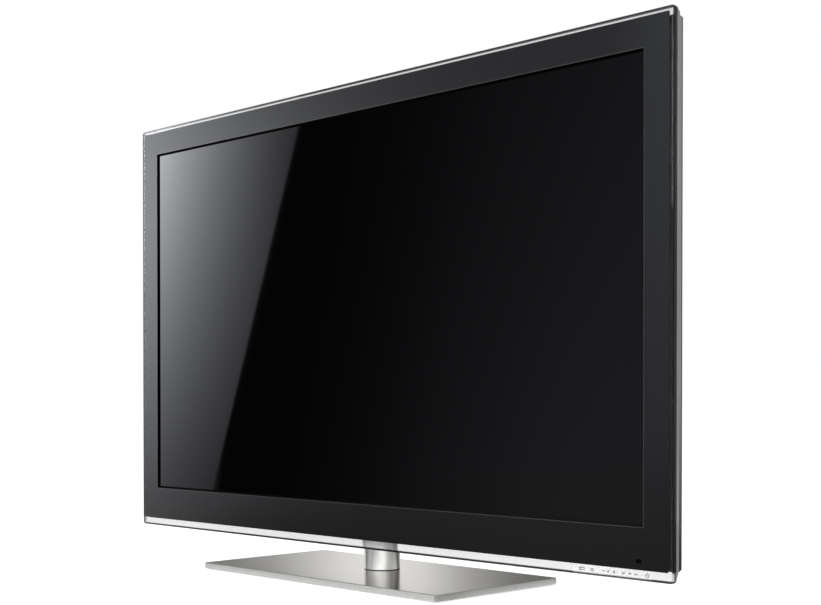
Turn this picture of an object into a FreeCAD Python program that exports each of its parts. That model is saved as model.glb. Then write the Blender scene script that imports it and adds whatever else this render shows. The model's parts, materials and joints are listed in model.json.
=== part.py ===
import FreeCAD
import Part
import math
import os
from collections import namedtuple

# A flat screen television, about 50 inches, on a rectangular steel stand.
# Millimetres. +Z is up, the screen faces -Y, and the origin is the centre of the stand's footprint
# at table level. The set turns left and right on the stand. A depth is measured backwards from the
# front of the set, and a screen place is measured from the middle of the screen.

# Screen and front frame
screen_width = 1106.0
screen_height = 622.0
bevel_width = 3.5
bevel_depth = 3.0
bezel_side = 40.5
bezel_top = 41.0
bezel_bottom = 57.0
bezel_corner = 2.0
margin_side = 8.0
margin_top = 7.0
margin_bottom = 14.0
clear_depth = 11.5
clear_lip_depth = 7.0
clear_edge = 1.2
clear_corner = 6.0
fit_gap = 0.1
solid_tolerance = 0.0001

# Display stack, from the front to the back
gasket_inset = 2.0
gasket_thickness = 0.5
glass_overlap = 10.0
glass_thickness = 2.5
frame_gap = 3.0
frame_thickness = 1.6
cushion_thickness = 0.6
cushion_width = 8.0
panel_overlap_side = 17.0
panel_overlap_high = 14.0
panel_step_side = 6.0
panel_step_high = 9.0
panel_glass_thickness = 1.8
thermal_thickness = 1.0
thermal_inset = 12.0
chassis_thickness = 1.5
chassis_rim = 4.0
ear_length = 14.0
ear_height = 22.0
ear_rows = 3
ear_pitch = 300.0
ear_hole_inset = 6.0
post_radius = 4.5
channel_width = 26.0
channel_wall = 1.5
channel_height = 5.0
channel_end = 20.0

# Cabinet and rear cover
cabinet_side_inset = 1.0
cabinet_top_inset = 11.0
cabinet_bottom_inset = 14.6
cabinet_corner = 3.0
cabinet_wall = 2.5
band_depth = 8.0
slope_depth = 11.5
slope_side = 40.0
slope_top = 40.0
slope_bottom = 15.0
shoulder_width = 14.0
shoulder_corner = 8.0
hump_depth = 5.0
hump_bevel = 5.0
hump_corner = 10.0
sheet = 1.2

# Openings in the rear cover
jack_pocket_width = 70.0
jack_pocket_floor = 17.0
jack_window_inset = 8.0
power_pocket_width = 80.0
power_pocket_height = 46.0
power_pocket_floor = 31.0
power_pocket_x = 470.0
power_pocket_rise = 87.0
neck_pocket_gap = 9.0
neck_pocket_floor = 24.0
vent_width = 232.0
vent_height = 28.0
vent_pitch = 262.0
vent_upper_drop = 24.5
vent_lower_rise = 75.0
vent_upper_count = 4
vent_lower_spread = 524.0
vent_slot = 4.0
vent_slots = 3
vent_rim = 4.0
vent_thickness = 0.8
speaker_slot = 8.0
speaker_bar = 12.0
speaker_slot_length = 9.0
speaker_slot_start = 3.0

# Wall mount and screws
wall_mount_pitch = 400.0
bush_radius = 9.0
bush_sides = 6
bush_bore = 4.0
bush_hole_gap = 0.6
screw_head_radius = 3.6
screw_head_height = 2.0
screw_radius = 1.9
cover_screw_columns = 3
cover_screw_pitch = 577.5
cover_screw_side_pitch = 300.0
cover_screw_length = 9.0
cover_boss_radius = 4.5
cup_gap = 1.6
cup_rise = 1.0

# Circuit boards: width, height, and the middle's place on the screen
board_lift = 5.3
board_thickness = 1.6
board_corner_inset = 7.0
standoff_radius = 3.4
standoff_sides = 4
screw_sides = 6
post_sides = 8
chip_height = 2.4
buffer_plug_count = 5
buffer_plug_pitch = 39.0
address_plug_count = 3
address_plug_pitch = 120.0
power_board = (310.0, 220.0, 0.0, 137.0)
scan_board = (150.0, 250.0, 305.0, 20.0)
upper_buffer_board = (86.0, 226.0, 470.0, 154.0)
lower_buffer_board = (86.0, 226.0, 470.0, -94.0)
sustain_board = (150.0, 190.0, -465.0, 185.0)
logic_board = (220.0, 130.0, -40.0, -95.0)
address_board_width = 400.0
address_board_height = 40.0
address_board_x = 330.0
address_board_rise = 9.0
filter_board_width = 60.0
filter_board_height = 40.0
filter_board_x = 385.0
main_board_width = 200.0
main_board_x = -327.0
main_board_z = -90.0
capacitor_radius = 8.0
capacitor_pitch = 24.0
capacitor_sides = 6
component_height = 11.0
transformer_core = (38.0, 20.0)
transformer_winding = (24.0, 38.0)
transformer_winding_drop = 2.0
sink_fin = 1.5
sink_fin_gap = 6.0
sink_base = 3.0
sink_fins = 4
film_thickness = 0.3
film_count = 5
film_width = 40.0
film_clearance = 1.2
film_overlap = 6.0
film_notch_gap = 1.5

# Sockets on the main board, from the top down
socket_depth = 16.0
socket_group_gap = 13.0
socket_end_gap = 7.0
lan_width = 16.0
lan_height = 12.5
lan_wall = 2.0
usb_count = 2
usb_pitch = 20.0
usb_width = 13.2
usb_height = 6.0
hdmi_count = 4
hdmi_pitch = 24.0
hdmi_width = 15.0
hdmi_height = 5.6
phono_count = 5
phono_pitch = 14.0
phono_radius = 4.1
phono_bore = 1.7
phono_height = 12.0
aerial_radius = 4.7
aerial_bore = 2.6
shell_wall = 0.6
tongue_thickness = 1.2
jack_panel_thickness = 1.0
panel_joint_gap = 0.1

# Mains inlet
inlet_width = 28.0
inlet_height = 20.0
inlet_flange = 3.0
inlet_flange_thickness = 1.5
inlet_wall = 2.0
inlet_corner = 2.0
inlet_cavity = 13.0
pin_length = 7.0
pin_width = 2.0
pin_height = 4.0
pin_spread = 7.0
pin_rise = 2.0

# Loudspeakers, touch controls and remote receiver
speaker_length = 230.0
speaker_offset = 370.0
speaker_front = 5.2
speaker_back = 26.5
speaker_gap = 4.5
speaker_top_gap = 3.0
speaker_post_spread = 110.0
driver_length = 76.0
driver_width = 13.0
driver_thickness = 3.6
driver_spread = 108.0
receiver_offset = 55.4
receiver_rise = 25.6
receiver_width = 10.0
receiver_height = 5.6
touch_end = 37.0
touch_length = 132.0
touch_film_thickness = 0.3
control_board_height = 13.0
control_chip_width = 8.0
control_chip_rim = 3.0
control_chip_height = 1.0
control_chip_end = 12.0

# Stand
base_width = 548.0
base_depth = 270.0
base_height = 9.6
base_corner = 16.0
base_edge = 0.8
base_shell = 2.5
foot_height = 1.6
foot_length = 26.0
foot_width = 14.0
foot_inset = 26.0
foot_columns = 3
tray_gap = 0.5
tray_thickness = 1.6
rib_thickness = 2.0
rib_gap = 0.2
rib_columns = 5
rib_rows = 2
under_gap = 37.8

# Swivel and neck
swivel_limit = 20.0
swivel_gap = 0.1
neck_axis_y = 20.6
front_to_neck = 56.6
neck_radius = 29.0
neck_wall = 2.0
glide_ring_height = 1.0
glide_ring_width = 4.0
bearing_radius = 24.5
bearing_thickness = 4.0
bearing_screw_circle = 19.0
bearing_screw_radius = 2.0
bearing_screw_head = 3.4
bearing_screw_sink = 1.5
bearing_screws = 3
stop_pin_radius = 2.5
stop_pin_circle = 19.0
stop_slot_gap = 0.4
stop_pin_lift = 0.8
post_radius_upper = 10.0
post_running_gap = 0.05
post_flange_radius = 24.0
post_flange_thickness = 3.0
thread_radius = 8.0
thread_tip = 1.5
washer_sides = 16
ring_sides = 24
washer_thickness = 0.6
washer_radius = 14.5
washer_play = 0.3
core_flange_thickness = 5.0
core_hub_radius = 15.0
core_hub_height = 32.0
core_rib_thickness = 4.0
core_rib_height = 18.0
core_ribs = 4
spring_thickness = 1.2
nut_flats = 27.0
nut_height = 9.0
tube_overlap = 33.0
head_disc_thickness = 8.0
head_spigot = 28.0
head_spigot_wall = 5.0
head_plate_width = 190.0
head_plate_thickness = 5.0
head_plate_rise = 136.0
head_plate_drop = 5.0
head_rib_spread = 52.0
head_rib_thickness = 5.0
head_rib_reach = 40.0
head_rib_rise = 90.0
bracket_screw_spread = 140.0
bracket_screw_low = 44.0
bracket_screw_high = 109.0
bracket_screw_radius = 3.0
bracket_screw_head = 5.5
bracket_screw_head_height = 3.2
bracket_width = 210.0
bracket_wall = 2.5
hood_wall = 2.5
hood_gap = 1.0
hood_drop = 8.0
hood_tip_rise = 24.0
hood_corner = 8.0

Rect = namedtuple("Rect", "left right low high")

# Heights and depths that follow from the sizes above
front_y = neck_axis_y - front_to_neck
base_top = foot_height + base_height
base_ceiling = base_top - base_shell
set_bottom = base_top + under_gap
screen_z = set_bottom + margin_bottom + bezel_bottom + bevel_width + screen_height / 2
glass_front = bevel_depth + gasket_thickness
glass_back = glass_front + glass_thickness
frame_back = glass_back + frame_thickness
panel_front = frame_back + cushion_thickness
panel_joint = panel_front + panel_glass_thickness
panel_back = panel_joint + panel_glass_thickness
chassis_front = panel_back + thermal_thickness
chassis_back = chassis_front + chassis_thickness
board_front = chassis_back + board_lift
board_back = board_front + board_thickness
band_front = clear_depth + fit_gap
band_end = band_front + band_depth
shoulder_back = band_end + slope_depth
shoulder_inside = shoulder_back - sheet
cabinet_depth = shoulder_back + hump_depth
cover_inside = cabinet_depth - sheet
cup_floor = band_end + cup_rise
tube_low = base_top + glide_ring_height + swivel_gap
tube_high = set_bottom + tube_overlap
tube_bore = neck_radius - neck_wall
core_low = base_top + bearing_thickness + washer_thickness + swivel_gap
hub_top = core_low + core_hub_height
nut_low = hub_top + swivel_gap + spring_thickness
nut_top = nut_low + nut_height
head_plate_back = neck_pocket_floor + head_plate_thickness


# Places and rectangles

def centred(width, height, x=0.0, z=0.0):
    return Rect(x - width / 2, x + width / 2, screen_z + z - height / 2, screen_z + z + height / 2)


def grown(rect, side, top=None, bottom=None):
    top = side if top is None else top
    bottom = top if bottom is None else bottom
    return Rect(rect.left - side, rect.right + side, rect.low - bottom, rect.high + top)


def point(x, depth, z):
    return FreeCAD.Vector(x, front_y + depth, z)


def spread(count, pitch):
    return [pitch * (number - (count - 1) / 2) for number in range(count)]


visible = centred(screen_width, screen_height)
opening = grown(visible, bevel_width)
bezel_outer = grown(opening, bezel_side, bezel_top, bezel_bottom)
set_outer = grown(bezel_outer, margin_side, margin_top, margin_bottom)
glass_rect = grown(visible, glass_overlap)
front_panel_rect = grown(visible, panel_overlap_side, panel_overlap_high)
rear_panel_rect = grown(front_panel_rect, -panel_step_side, panel_step_high)
chassis_rect = Rect(front_panel_rect.left - chassis_rim, front_panel_rect.right + chassis_rim,
                    rear_panel_rect.low - chassis_rim, rear_panel_rect.high + chassis_rim)
band_rect = grown(set_outer, -cabinet_side_inset, -cabinet_top_inset, -cabinet_bottom_inset)
skirt_rect = Rect(bezel_outer.left + fit_gap, bezel_outer.right - fit_gap, band_rect.low, band_rect.high)
skirt_inner = grown(skirt_rect, -cabinet_wall)
band_inner = grown(band_rect, -cabinet_wall)
shoulder_rect = grown(band_rect, -slope_side, -slope_top, -slope_bottom)
hump_foot = grown(shoulder_rect, -shoulder_width)
hump_rect = grown(hump_foot, -hump_bevel)

jack_stack = [
    ("lan", 1, lan_width, lan_width),
    ("usb", usb_count, usb_pitch, usb_width),
    ("hdmi", hdmi_count, hdmi_pitch, hdmi_width),
    ("phono", phono_count, phono_pitch, phono_pitch),
    ("aerial", 1, 2 * aerial_radius, 2 * aerial_radius),
]


def group_height(count, pitch, width):
    return (count - 1) * pitch + width


jack_stack_height = sum(group_height(*entry[1:]) for entry in jack_stack)
jack_stack_height += socket_group_gap * (len(jack_stack) - 1) + 2 * socket_end_gap
main_board_rect = centred(main_board_width, jack_stack_height, main_board_x, main_board_z)
address_board_z = chassis_rect.low - screen_z + address_board_rise + address_board_height / 2
power_pocket_z = chassis_rect.low - screen_z + power_pocket_rise
vent_upper_z = hump_rect.high - screen_z - vent_upper_drop
vent_lower_z = hump_rect.low - screen_z + vent_lower_rise
panel_outer_x = main_board_rect.left - jack_panel_thickness
jack_pocket = Rect(panel_outer_x - sheet - jack_pocket_width, panel_outer_x - sheet,
                   main_board_rect.low - jack_window_inset, main_board_rect.high + jack_window_inset)
power_pocket = centred(power_pocket_width, power_pocket_height, power_pocket_x, power_pocket_z)
inlet_rect = centred(inlet_width, inlet_height, power_pocket_x, power_pocket_z)
neck_pocket = Rect(-head_plate_width / 2 - neck_pocket_gap, head_plate_width / 2 + neck_pocket_gap,
                   band_rect.low - sheet, tube_high + head_plate_rise + neck_pocket_gap)
receiver_x = set_outer.right - receiver_offset
receiver_z = set_outer.low + receiver_rise
touch_right = set_outer.right - touch_end


# Shape helpers

def outline(rect, depth, corner=0.0):
    left, right, low, high = rect
    if corner <= 0:
        corners = [point(left, depth, low), point(right, depth, low),
                   point(right, depth, high), point(left, depth, high)]
        return Part.makePolygon(corners + corners[:1])
    bulge = corner * (1 - math.sqrt(0.5))
    ends = []
    for x, z, dx, dz in [(right, low, -1, 1), (right, high, -1, -1), (left, high, 1, -1), (left, low, 1, 1)]:
        beside = point(x + dx * corner, depth, z)
        above = point(x, depth, z + dz * corner)
        through = point(x + dx * bulge, depth, z + dz * bulge)
        ends.append((beside, through, above) if dx * dz < 0 else (above, through, beside))
    edges = []
    for number, (start, through, stop) in enumerate(ends):
        edges.append(Part.Arc(start, through, stop).toShape())
        edges.append(Part.LineSegment(stop, ends[(number + 1) % 4][0]).toShape())
    return Part.Wire(edges)


def plate(rect, front, back, corner=0.0):
    return Part.Face(outline(rect, front, corner)).extrude(FreeCAD.Vector(0, back - front, 0))


def ring(outer, inner, front, back, outer_corner=0.0, inner_corner=0.0):
    hole = plate(inner, front - 1, back + 1, inner_corner)
    return plate(outer, front, back, outer_corner).cut(hole)


def taper(rect_a, depth_a, rect_b, depth_b, corner_a, corner_b):
    wires = [outline(rect_a, depth_a, corner_a), outline(rect_b, depth_b, corner_b)]
    return Part.makeLoft(wires, True, True)


def flat_face(corners):
    return Part.Face(Part.makePolygon(corners + corners[:1]))


def bevelled_corners(rect, depth, corner):
    left, right, low, high = rect
    places = [(left + corner, low), (right - corner, low), (right, low + corner), (right, high - corner),
              (right - corner, high), (left + corner, high), (left, high - corner), (left, low + corner)]
    return [point(x, depth, z) for x, z in places]


def bevelled_plate(rect, front, back, corner):
    return flat_face(bevelled_corners(rect, front, corner)).extrude(FreeCAD.Vector(0, back - front, 0))


def bevelled_taper(rect_a, depth_a, rect_b, depth_b, corner_a, corner_b):
    front = bevelled_corners(rect_a, depth_a, corner_a)
    back = bevelled_corners(rect_b, depth_b, corner_b)
    faces = [flat_face(front[::-1]), flat_face(back)]
    for number in range(len(front)):
        following = (number + 1) % len(front)
        faces.append(flat_face([front[number], front[following], back[following], back[number]]))
    solid = Part.makeSolid(Part.makeShell(faces))
    solid.fix(solid_tolerance, solid_tolerance, solid_tolerance)
    return solid


def block(left, right, front, back, low, high):
    return Part.makeBox(right - left, back - front, high - low, point(left, front, low))


def rod(x, z, radius, front, back):
    return Part.makeCylinder(radius, back - front, point(x, front, z), FreeCAD.Vector(0, 1, 0))


def polygon(radius, sides):
    turns = [2 * math.pi * (number + 0.5) / sides for number in range(sides)]
    return [(radius * math.cos(turn), radius * math.sin(turn)) for turn in turns]


def prism(x, z, radius, front, back, sides=post_sides):
    corners = [point(x + across, front, z + up) for across, up in polygon(radius, sides)]
    return flat_face(corners).extrude(FreeCAD.Vector(0, back - front, 0))


def upright_prism(radius, low, high, x, y, sides=post_sides):
    corners = [FreeCAD.Vector(x + across, y + along, low) for across, along in polygon(radius, sides)]
    return flat_face(corners).extrude(FreeCAD.Vector(0, 0, high - low))


def side_prism(left, right, depth, z, radius, sides=post_sides):
    corners = [point(left, depth + back, z + up) for back, up in polygon(radius, sides)]
    return flat_face(corners).extrude(FreeCAD.Vector(right - left, 0, 0))


def column(radius, low, high, x=0.0, y=neck_axis_y):
    return Part.makeCylinder(radius, high - low, FreeCAD.Vector(x, y, low))


def pipe(outer_radius, inner_radius, low, high):
    return column(outer_radius, low, high).cut(column(inner_radius, low - 1, high + 1))


def side_profile(points, left, right):
    corners = [point(left, depth, z) for depth, z in points]
    return flat_face(corners).extrude(FreeCAD.Vector(right - left, 0, 0))


def top_profile(points, low, high):
    corners = [point(x, depth, low) for x, depth in points]
    return flat_face(corners).extrude(FreeCAD.Vector(0, 0, high - low))


def joined(shapes):
    return shapes[0].multiFuse(shapes[1:]).removeSplitter() if len(shapes) > 1 else shapes[0]


def without(shape, tools):
    return shape.cut(Part.makeCompound(tools))


def screw(x, z, seat, length, radius, head_radius, head_height):
    return joined([prism(x, z, radius, seat - length, seat, screw_sides),
                   prism(x, z, head_radius, seat, seat + head_height, screw_sides)])


def middle(rect):
    return (rect.left + rect.right) / 2, (rect.low + rect.high) / 2


def chip(x, z, wide, high, front, back):
    return plate(Rect(x - wide / 2, x + wide / 2, z - high / 2, z + high / 2), front, back)


# Places of the screws and posts

boss_rect = grown(skirt_inner, -cover_boss_radius - fit_gap)
cover_screw_places = [(x, z) for x in spread(cover_screw_columns, cover_screw_pitch)
                      for z in (boss_rect.low, boss_rect.high)]
cover_screw_places += [(x, screen_z + z) for x in (boss_rect.left, boss_rect.right)
                       for z in spread(2, cover_screw_side_pitch)]
ear_x = chassis_rect.right + ear_length - ear_hole_inset
ear_places = [(side * ear_x, screen_z + z) for side in (-1, 1) for z in spread(ear_rows, ear_pitch)]
wall_mount_places = [(x, screen_z + z) for x in spread(2, wall_mount_pitch) for z in spread(2, wall_mount_pitch)]
bracket_screw_places = [(x, tube_high + z) for x in spread(2, bracket_screw_spread)
                        for z in (bracket_screw_low, bracket_screw_high)]
speaker_post_z = skirt_inner.low + cover_boss_radius + speaker_gap
speaker_post_places = [(side * speaker_offset + x, speaker_post_z)
                       for side in (-1, 1) for x in spread(2, speaker_post_spread)]


# Front frame and glass

def make_clear_frame():
    nose = taper(grown(set_outer, -clear_edge), 0, set_outer, clear_edge, clear_corner - clear_edge, clear_corner)
    rim = plate(set_outer, clear_edge, clear_lip_depth, clear_corner)
    back_rect = grown(set_outer, 0, -margin_top, -margin_bottom)
    lip = taper(set_outer, clear_lip_depth, back_rect, clear_depth, clear_corner, bezel_corner)
    front_hole = plate(grown(bezel_outer, fit_gap), -1, bevel_depth, bezel_corner)
    back_hole = plate(grown(skirt_rect, fit_gap), bevel_depth - 1, clear_depth + 1)
    return without(joined([nose, rim, lip]), [front_hole, back_hole])


def make_bezel_frame():
    face = plate(bezel_outer, 0, bevel_depth, bezel_corner)
    face = face.cut(taper(opening, 0, visible, bevel_depth, 0, 0))
    skirt = ring(skirt_rect, skirt_inner, bevel_depth, clear_depth)
    ear_posts = [prism(x, z, post_radius, bevel_depth, glass_back, screw_sides) for x, z in ear_places]
    speaker_posts = [prism(x, z, standoff_radius, bevel_depth, speaker_front, standoff_sides)
                     for x, z in speaker_post_places]
    bosses = [prism(x, z, cover_boss_radius, bevel_depth, cup_floor - sheet, screw_sides)
              for x, z in cover_screw_places]
    bezel = joined([face, skirt] + ear_posts + speaker_posts + bosses)
    boss_floor = cup_floor - cover_screw_length - fit_gap
    bores = [prism(x, z, screw_radius + fit_gap, boss_floor, cup_floor, screw_sides)
             for x, z in cover_screw_places]
    return without(bezel, bores + [receiver_oval(-1, bevel_depth + 1, fit_gap)])


def receiver_oval(front, back, gap=0.0):
    left = receiver_x - receiver_width / 2 - gap
    low = receiver_z - receiver_height / 2 - gap
    rect = Rect(left, left + receiver_width + 2 * gap, low, low + receiver_height + 2 * gap)
    straight = plate(Rect(rect.left + receiver_height / 2, rect.right - receiver_height / 2, rect.low, rect.high),
                     front, back)
    ends = [rod(x, receiver_z, receiver_height / 2 + gap, front, back)
            for x in (rect.left + receiver_height / 2 + gap, rect.right - receiver_height / 2 - gap)]
    return joined([straight] + ends)


def make_screen_gasket():
    return ring(glass_rect, grown(visible, gasket_inset), bevel_depth, glass_front)


def make_touch_film():
    low = set_outer.low
    back = clear_depth + touch_film_thickness
    corners = [(clear_lip_depth, low), (clear_depth, low + margin_bottom), (back, low + margin_bottom),
               (clear_lip_depth + touch_film_thickness, low)]
    return side_profile(corners, touch_right - touch_length, touch_right)


def make_control_board():
    low = skirt_inner.low + fit_gap
    rect = Rect(touch_right - touch_length, touch_right, low, low + control_board_height)
    back = bevel_depth + board_thickness
    middle_x, middle_z = middle(rect)
    parts = [chip(x, middle_z, control_chip_width, control_board_height - 2 * control_chip_rim, back,
                  back + control_chip_height) for x in (middle_x, rect.right - control_chip_end)]
    return joined([plate(rect, bevel_depth, back)] + parts)


# Display panel and chassis

def make_panel_frame():
    flange = ring(chassis_rect, grown(visible, frame_gap), glass_back, frame_back)
    wall = ring(chassis_rect, grown(chassis_rect, -frame_thickness), glass_back, chassis_front)
    ears = []
    for x, z in ear_places:
        left = min(math.copysign(chassis_rect.right - 1, x), math.copysign(chassis_rect.right + ear_length, x))
        ears.append(block(left, left + ear_length + 1, glass_back, frame_back, z - ear_height / 2,
                          z + ear_height / 2))
    return joined([flange, wall] + ears)


def make_chassis_plate():
    notch = film_width + 2 * film_notch_gap
    low = rear_panel_rect.low - film_clearance + film_thickness + film_notch_gap
    cuts = [plate(Rect(x - notch / 2, x + notch / 2, chassis_rect.low - 1, low), chassis_front - 1,
                  chassis_back + 1) for x in address_film_places()]
    return without(plate(chassis_rect, chassis_front, chassis_back), cuts)


def address_film_places():
    places = []
    for side in (-1, 1):
        places += [side * address_board_x + x for x in spread(film_count, address_board_width / film_count)]
    return places


def make_channels():
    channels = []
    low = chassis_rect.low + channel_end
    high = chassis_rect.high - channel_end
    for x in spread(2, wall_mount_pitch):
        outer = block(x - channel_width / 2, x + channel_width / 2, chassis_back, chassis_back + channel_height,
                      low, high)
        inner = block(x - channel_width / 2 + channel_wall, x + channel_width / 2 - channel_wall,
                      chassis_back - 1, chassis_back + channel_height - channel_wall, low - 1, high + 1)
        channels.append(outer.cut(inner))
    holes = [prism(x, z, bush_bore, chassis_back, board_front) for x, z in wall_mount_places]
    return without(Part.makeCompound(channels), holes)


def make_wall_mount_bushes():
    front = chassis_back + channel_height
    return Part.makeCompound([prism(x, z, bush_radius, front, cabinet_depth, bush_sides).cut(
        rod(x, z, bush_bore, front - 1, cabinet_depth + 1)) for x, z in wall_mount_places])


# Rear cover

def cup(x, z, half, floor):
    return plate(Rect(x - half, x + half, z - half, z + half), floor, cabinet_depth + 1)


def make_rear_cover():
    outer = joined([
        bevelled_plate(band_rect, band_front, band_end, cabinet_corner),
        bevelled_taper(band_rect, band_end, shoulder_rect, shoulder_back, cabinet_corner, shoulder_corner),
        bevelled_taper(hump_foot, shoulder_back, hump_rect, cabinet_depth, hump_corner, hump_corner),
    ])
    cavity = joined([
        bevelled_plate(band_inner, band_front - 1, band_end, cabinet_corner),
        bevelled_taper(band_inner, band_end, shoulder_rect, shoulder_inside, cabinet_corner, shoulder_corner),
        bevelled_taper(grown(hump_foot, -sheet), shoulder_inside, grown(hump_rect, -sheet), cover_inside,
                       hump_corner, hump_corner),
    ])
    wells = [
        (plate(grown(jack_pocket, sheet), jack_pocket_floor - sheet, cabinet_depth),
         plate(jack_pocket, jack_pocket_floor, cabinet_depth + 1)),
        (plate(grown(power_pocket, sheet), power_pocket_floor - sheet, cabinet_depth),
         plate(power_pocket, power_pocket_floor, cabinet_depth + 1)),
        (plate(grown(neck_pocket, sheet), neck_pocket_floor - sheet, cabinet_depth),
         plate(grown(neck_pocket, 0, 0, slope_bottom), neck_pocket_floor, cabinet_depth + 1)),
    ]
    wells += [(cup(x, z, screw_head_radius + cup_gap + sheet, cup_floor - sheet),
               cup(x, z, screw_head_radius + cup_gap, cup_floor)) for x, z in cover_screw_places]
    shell = outer.cut(cavity)
    walls = Part.makeCompound([wall for wall, hollow in wells]).common(outer)
    shell = shell.multiFuse(walls.Solids)
    hollows = [hollow for wall, hollow in wells]
    hollows += [plate(grown(rect, -vent_rim), cover_inside - 1, cabinet_depth + 1)
                for rect in upper_vents() + lower_vents()]
    hollows += [prism(x, z, bush_radius + bush_hole_gap, cover_inside - 1, cabinet_depth + 1, bush_sides)
                for x, z in wall_mount_places]
    hollows += [prism(x, z, screw_radius + fit_gap, cup_floor - sheet - 1, cup_floor + 1, screw_sides)
                for x, z in cover_screw_places]
    hollows += [prism(x, z, bracket_screw_radius + fit_gap, neck_pocket_floor - sheet - 1,
                      neck_pocket_floor + 1, screw_sides) for x, z in bracket_screw_places]
    hollows += speaker_slots()
    window_low = jack_pocket.low + jack_window_inset
    window_high = jack_pocket.high - jack_window_inset
    hollows.append(block(jack_pocket.right - 1, jack_pocket.right + sheet + 1, board_back - 1, cover_inside - 1,
                         window_low, window_high))
    hollows.append(bevelled_plate(grown(inlet_rect, fit_gap), power_pocket_floor - sheet - 1,
                                  power_pocket_floor + 1, inlet_corner))
    return without(shell, hollows).removeSplitter()


def upper_vents():
    return [centred(vent_width, vent_height, x, vent_upper_z) for x in spread(vent_upper_count, vent_pitch)]


def lower_vents():
    return [centred(vent_width, vent_height, x, vent_lower_z) for x in spread(2, vent_lower_spread)]


def speaker_slots():
    pitch = speaker_slot + speaker_bar
    count = int(speaker_length / pitch)
    start = band_end + speaker_slot_start
    slots = []
    for side in (-1, 1):
        for x in spread(count, pitch):
            left = side * speaker_offset + x - speaker_slot / 2
            slots.append(block(left, left + speaker_slot, start, start + speaker_slot_length,
                               band_rect.low - 1, shoulder_rect.low - sheet))
    return slots


def vent_grille(rect):
    grille = plate(rect, cover_inside - vent_thickness, cover_inside)
    field = grown(rect, -vent_rim)
    centre_x, centre_z = middle(field)
    pitch = (field.high - field.low) / vent_slots
    slots = [chip(centre_x, centre_z + z, field.right - field.left - 2 * vent_rim, vent_slot,
                  cover_inside - vent_thickness - 1, cover_inside + 1) for z in spread(vent_slots, pitch)]
    return without(grille, slots)


# Circuit boards

def board_corners(rect):
    inner = grown(rect, -board_corner_inset)
    if rect == main_board_rect:
        inner = inner._replace(left=rect.left + socket_depth + board_corner_inset)
    return [(x, z) for x in (inner.left, inner.right) for z in (inner.low, inner.high)]


boards = {
    "power_supply_board": [centred(*power_board)],
    "scan_board": [centred(*scan_board)],
    "buffer_boards": [centred(*upper_buffer_board), centred(*lower_buffer_board)],
    "sustain_board": [centred(*sustain_board)],
    "logic_board": [centred(*logic_board)],
    "address_boards": [centred(address_board_width, address_board_height, side * address_board_x, address_board_z)
                       for side in (-1, 1)],
    "mains_filter": [centred(filter_board_width, filter_board_height, filter_board_x, power_pocket_z)],
    "main_board": [main_board_rect],
}
standoff_places = [place for rects in boards.values() for rect in rects for place in board_corners(rect)]

# Chips and connectors on each board: width, height, tallness, and the place from the board's middle
chips = {
    "power_supply_board": [(26.0, 10.0, 8.0, -120.0, -96.0), (60.0, 8.0, 6.0, 90.0, -98.0)],
    "scan_board": [(16.0, 180.0, 3.0, 64.0, 0.0)],
    "buffer_boards": [(18.0, 26.0, 2.0, -10.0, z) for z in spread(buffer_plug_count, buffer_plug_pitch)],
    "sustain_board": [(14.0, 120.0, 3.0, -64.0, 0.0)],
    "logic_board": [(34.0, 34.0, chip_height, 0.0, 4.0), (14.0, 20.0, 1.2, 46.0, 10.0),
                    (14.0, 20.0, 1.2, 46.0, -20.0), (70.0, 6.0, 4.0, -40.0, -56.0), (70.0, 6.0, 4.0, 44.0, -56.0)],
    "address_boards": [(50.0, 6.0, 4.0, x, 10.0) for x in spread(address_plug_count, address_plug_pitch)],
    "mains_filter": [(20.0, 20.0, 10.0, -14.0, 0.0), (12.0, 26.0, 9.0, 12.0, 0.0)],
    "main_board": [(35.0, 35.0, chip_height, 20.0, 20.0), (14.0, 12.0, 1.2, 58.0, 34.0),
                   (14.0, 12.0, 1.2, 58.0, 8.0), (24.0, 24.0, 2.0, 14.0, -60.0), (10.0, 60.0, 5.0, 86.0, -20.0)],
}


def make_board(name):
    solids = []
    for rect in boards[name]:
        middle_x, middle_z = middle(rect)
        parts = [chip(middle_x + x, middle_z + z, wide, high, board_back, board_back + tall)
                 for wide, high, tall, x, z in chips[name]]
        solids.append(joined([plate(rect, board_front, board_back)] + parts))
    return Part.makeCompound(solids)


def make_standoffs():
    return Part.makeCompound([prism(x, z, standoff_radius, chassis_back, board_front, standoff_sides)
                              for x, z in standoff_places])


# Rows of capacitors: board, count across, count up, and the row's middle from the board's middle
capacitor_rows = [
    ("power_supply_board", 4, 1, -64.0, 60.0),
    ("sustain_board", 1, 3, 20.0, -36.0),
    ("scan_board", 1, 3, -50.0, -56.0),
]


def on_board(name, x, z):
    middle_x, middle_z = middle(boards[name][0])
    return middle_x + x, middle_z + z


def make_capacitors():
    shapes = []
    for name, across, up, row_x, row_z in capacitor_rows:
        for x in spread(across, capacitor_pitch):
            for z in spread(up, capacitor_pitch):
                shapes.append(prism(*on_board(name, row_x + x, row_z + z), capacitor_radius, board_back,
                                    board_back + component_height, capacitor_sides))
    return Part.makeCompound(shapes)


# Transformers on the power supply board, from its middle
transformer_places = [(-95.0, -10.0), (-30.0, -30.0), (40.0, 10.0)]


def make_transformers():
    shapes = []
    top = board_back + component_height
    for place in transformer_places:
        x, z = on_board("power_supply_board", *place)
        shapes.append(joined([chip(x, z, *transformer_core, board_back, top),
                              chip(x, z, *transformer_winding, board_back, top - transformer_winding_drop)]))
    return Part.makeCompound(shapes)


# Heat sinks: board, the middle from the board's middle, and length
sink_places = [
    ("power_supply_board", 95.0, 20.0, 90.0),
    ("power_supply_board", 125.0, 20.0, 90.0),
    ("scan_board", 0.0, 40.0, 110.0),
    ("scan_board", 32.0, 0.0, 120.0),
    ("sustain_board", -30.0, 30.0, 100.0),
]


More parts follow.
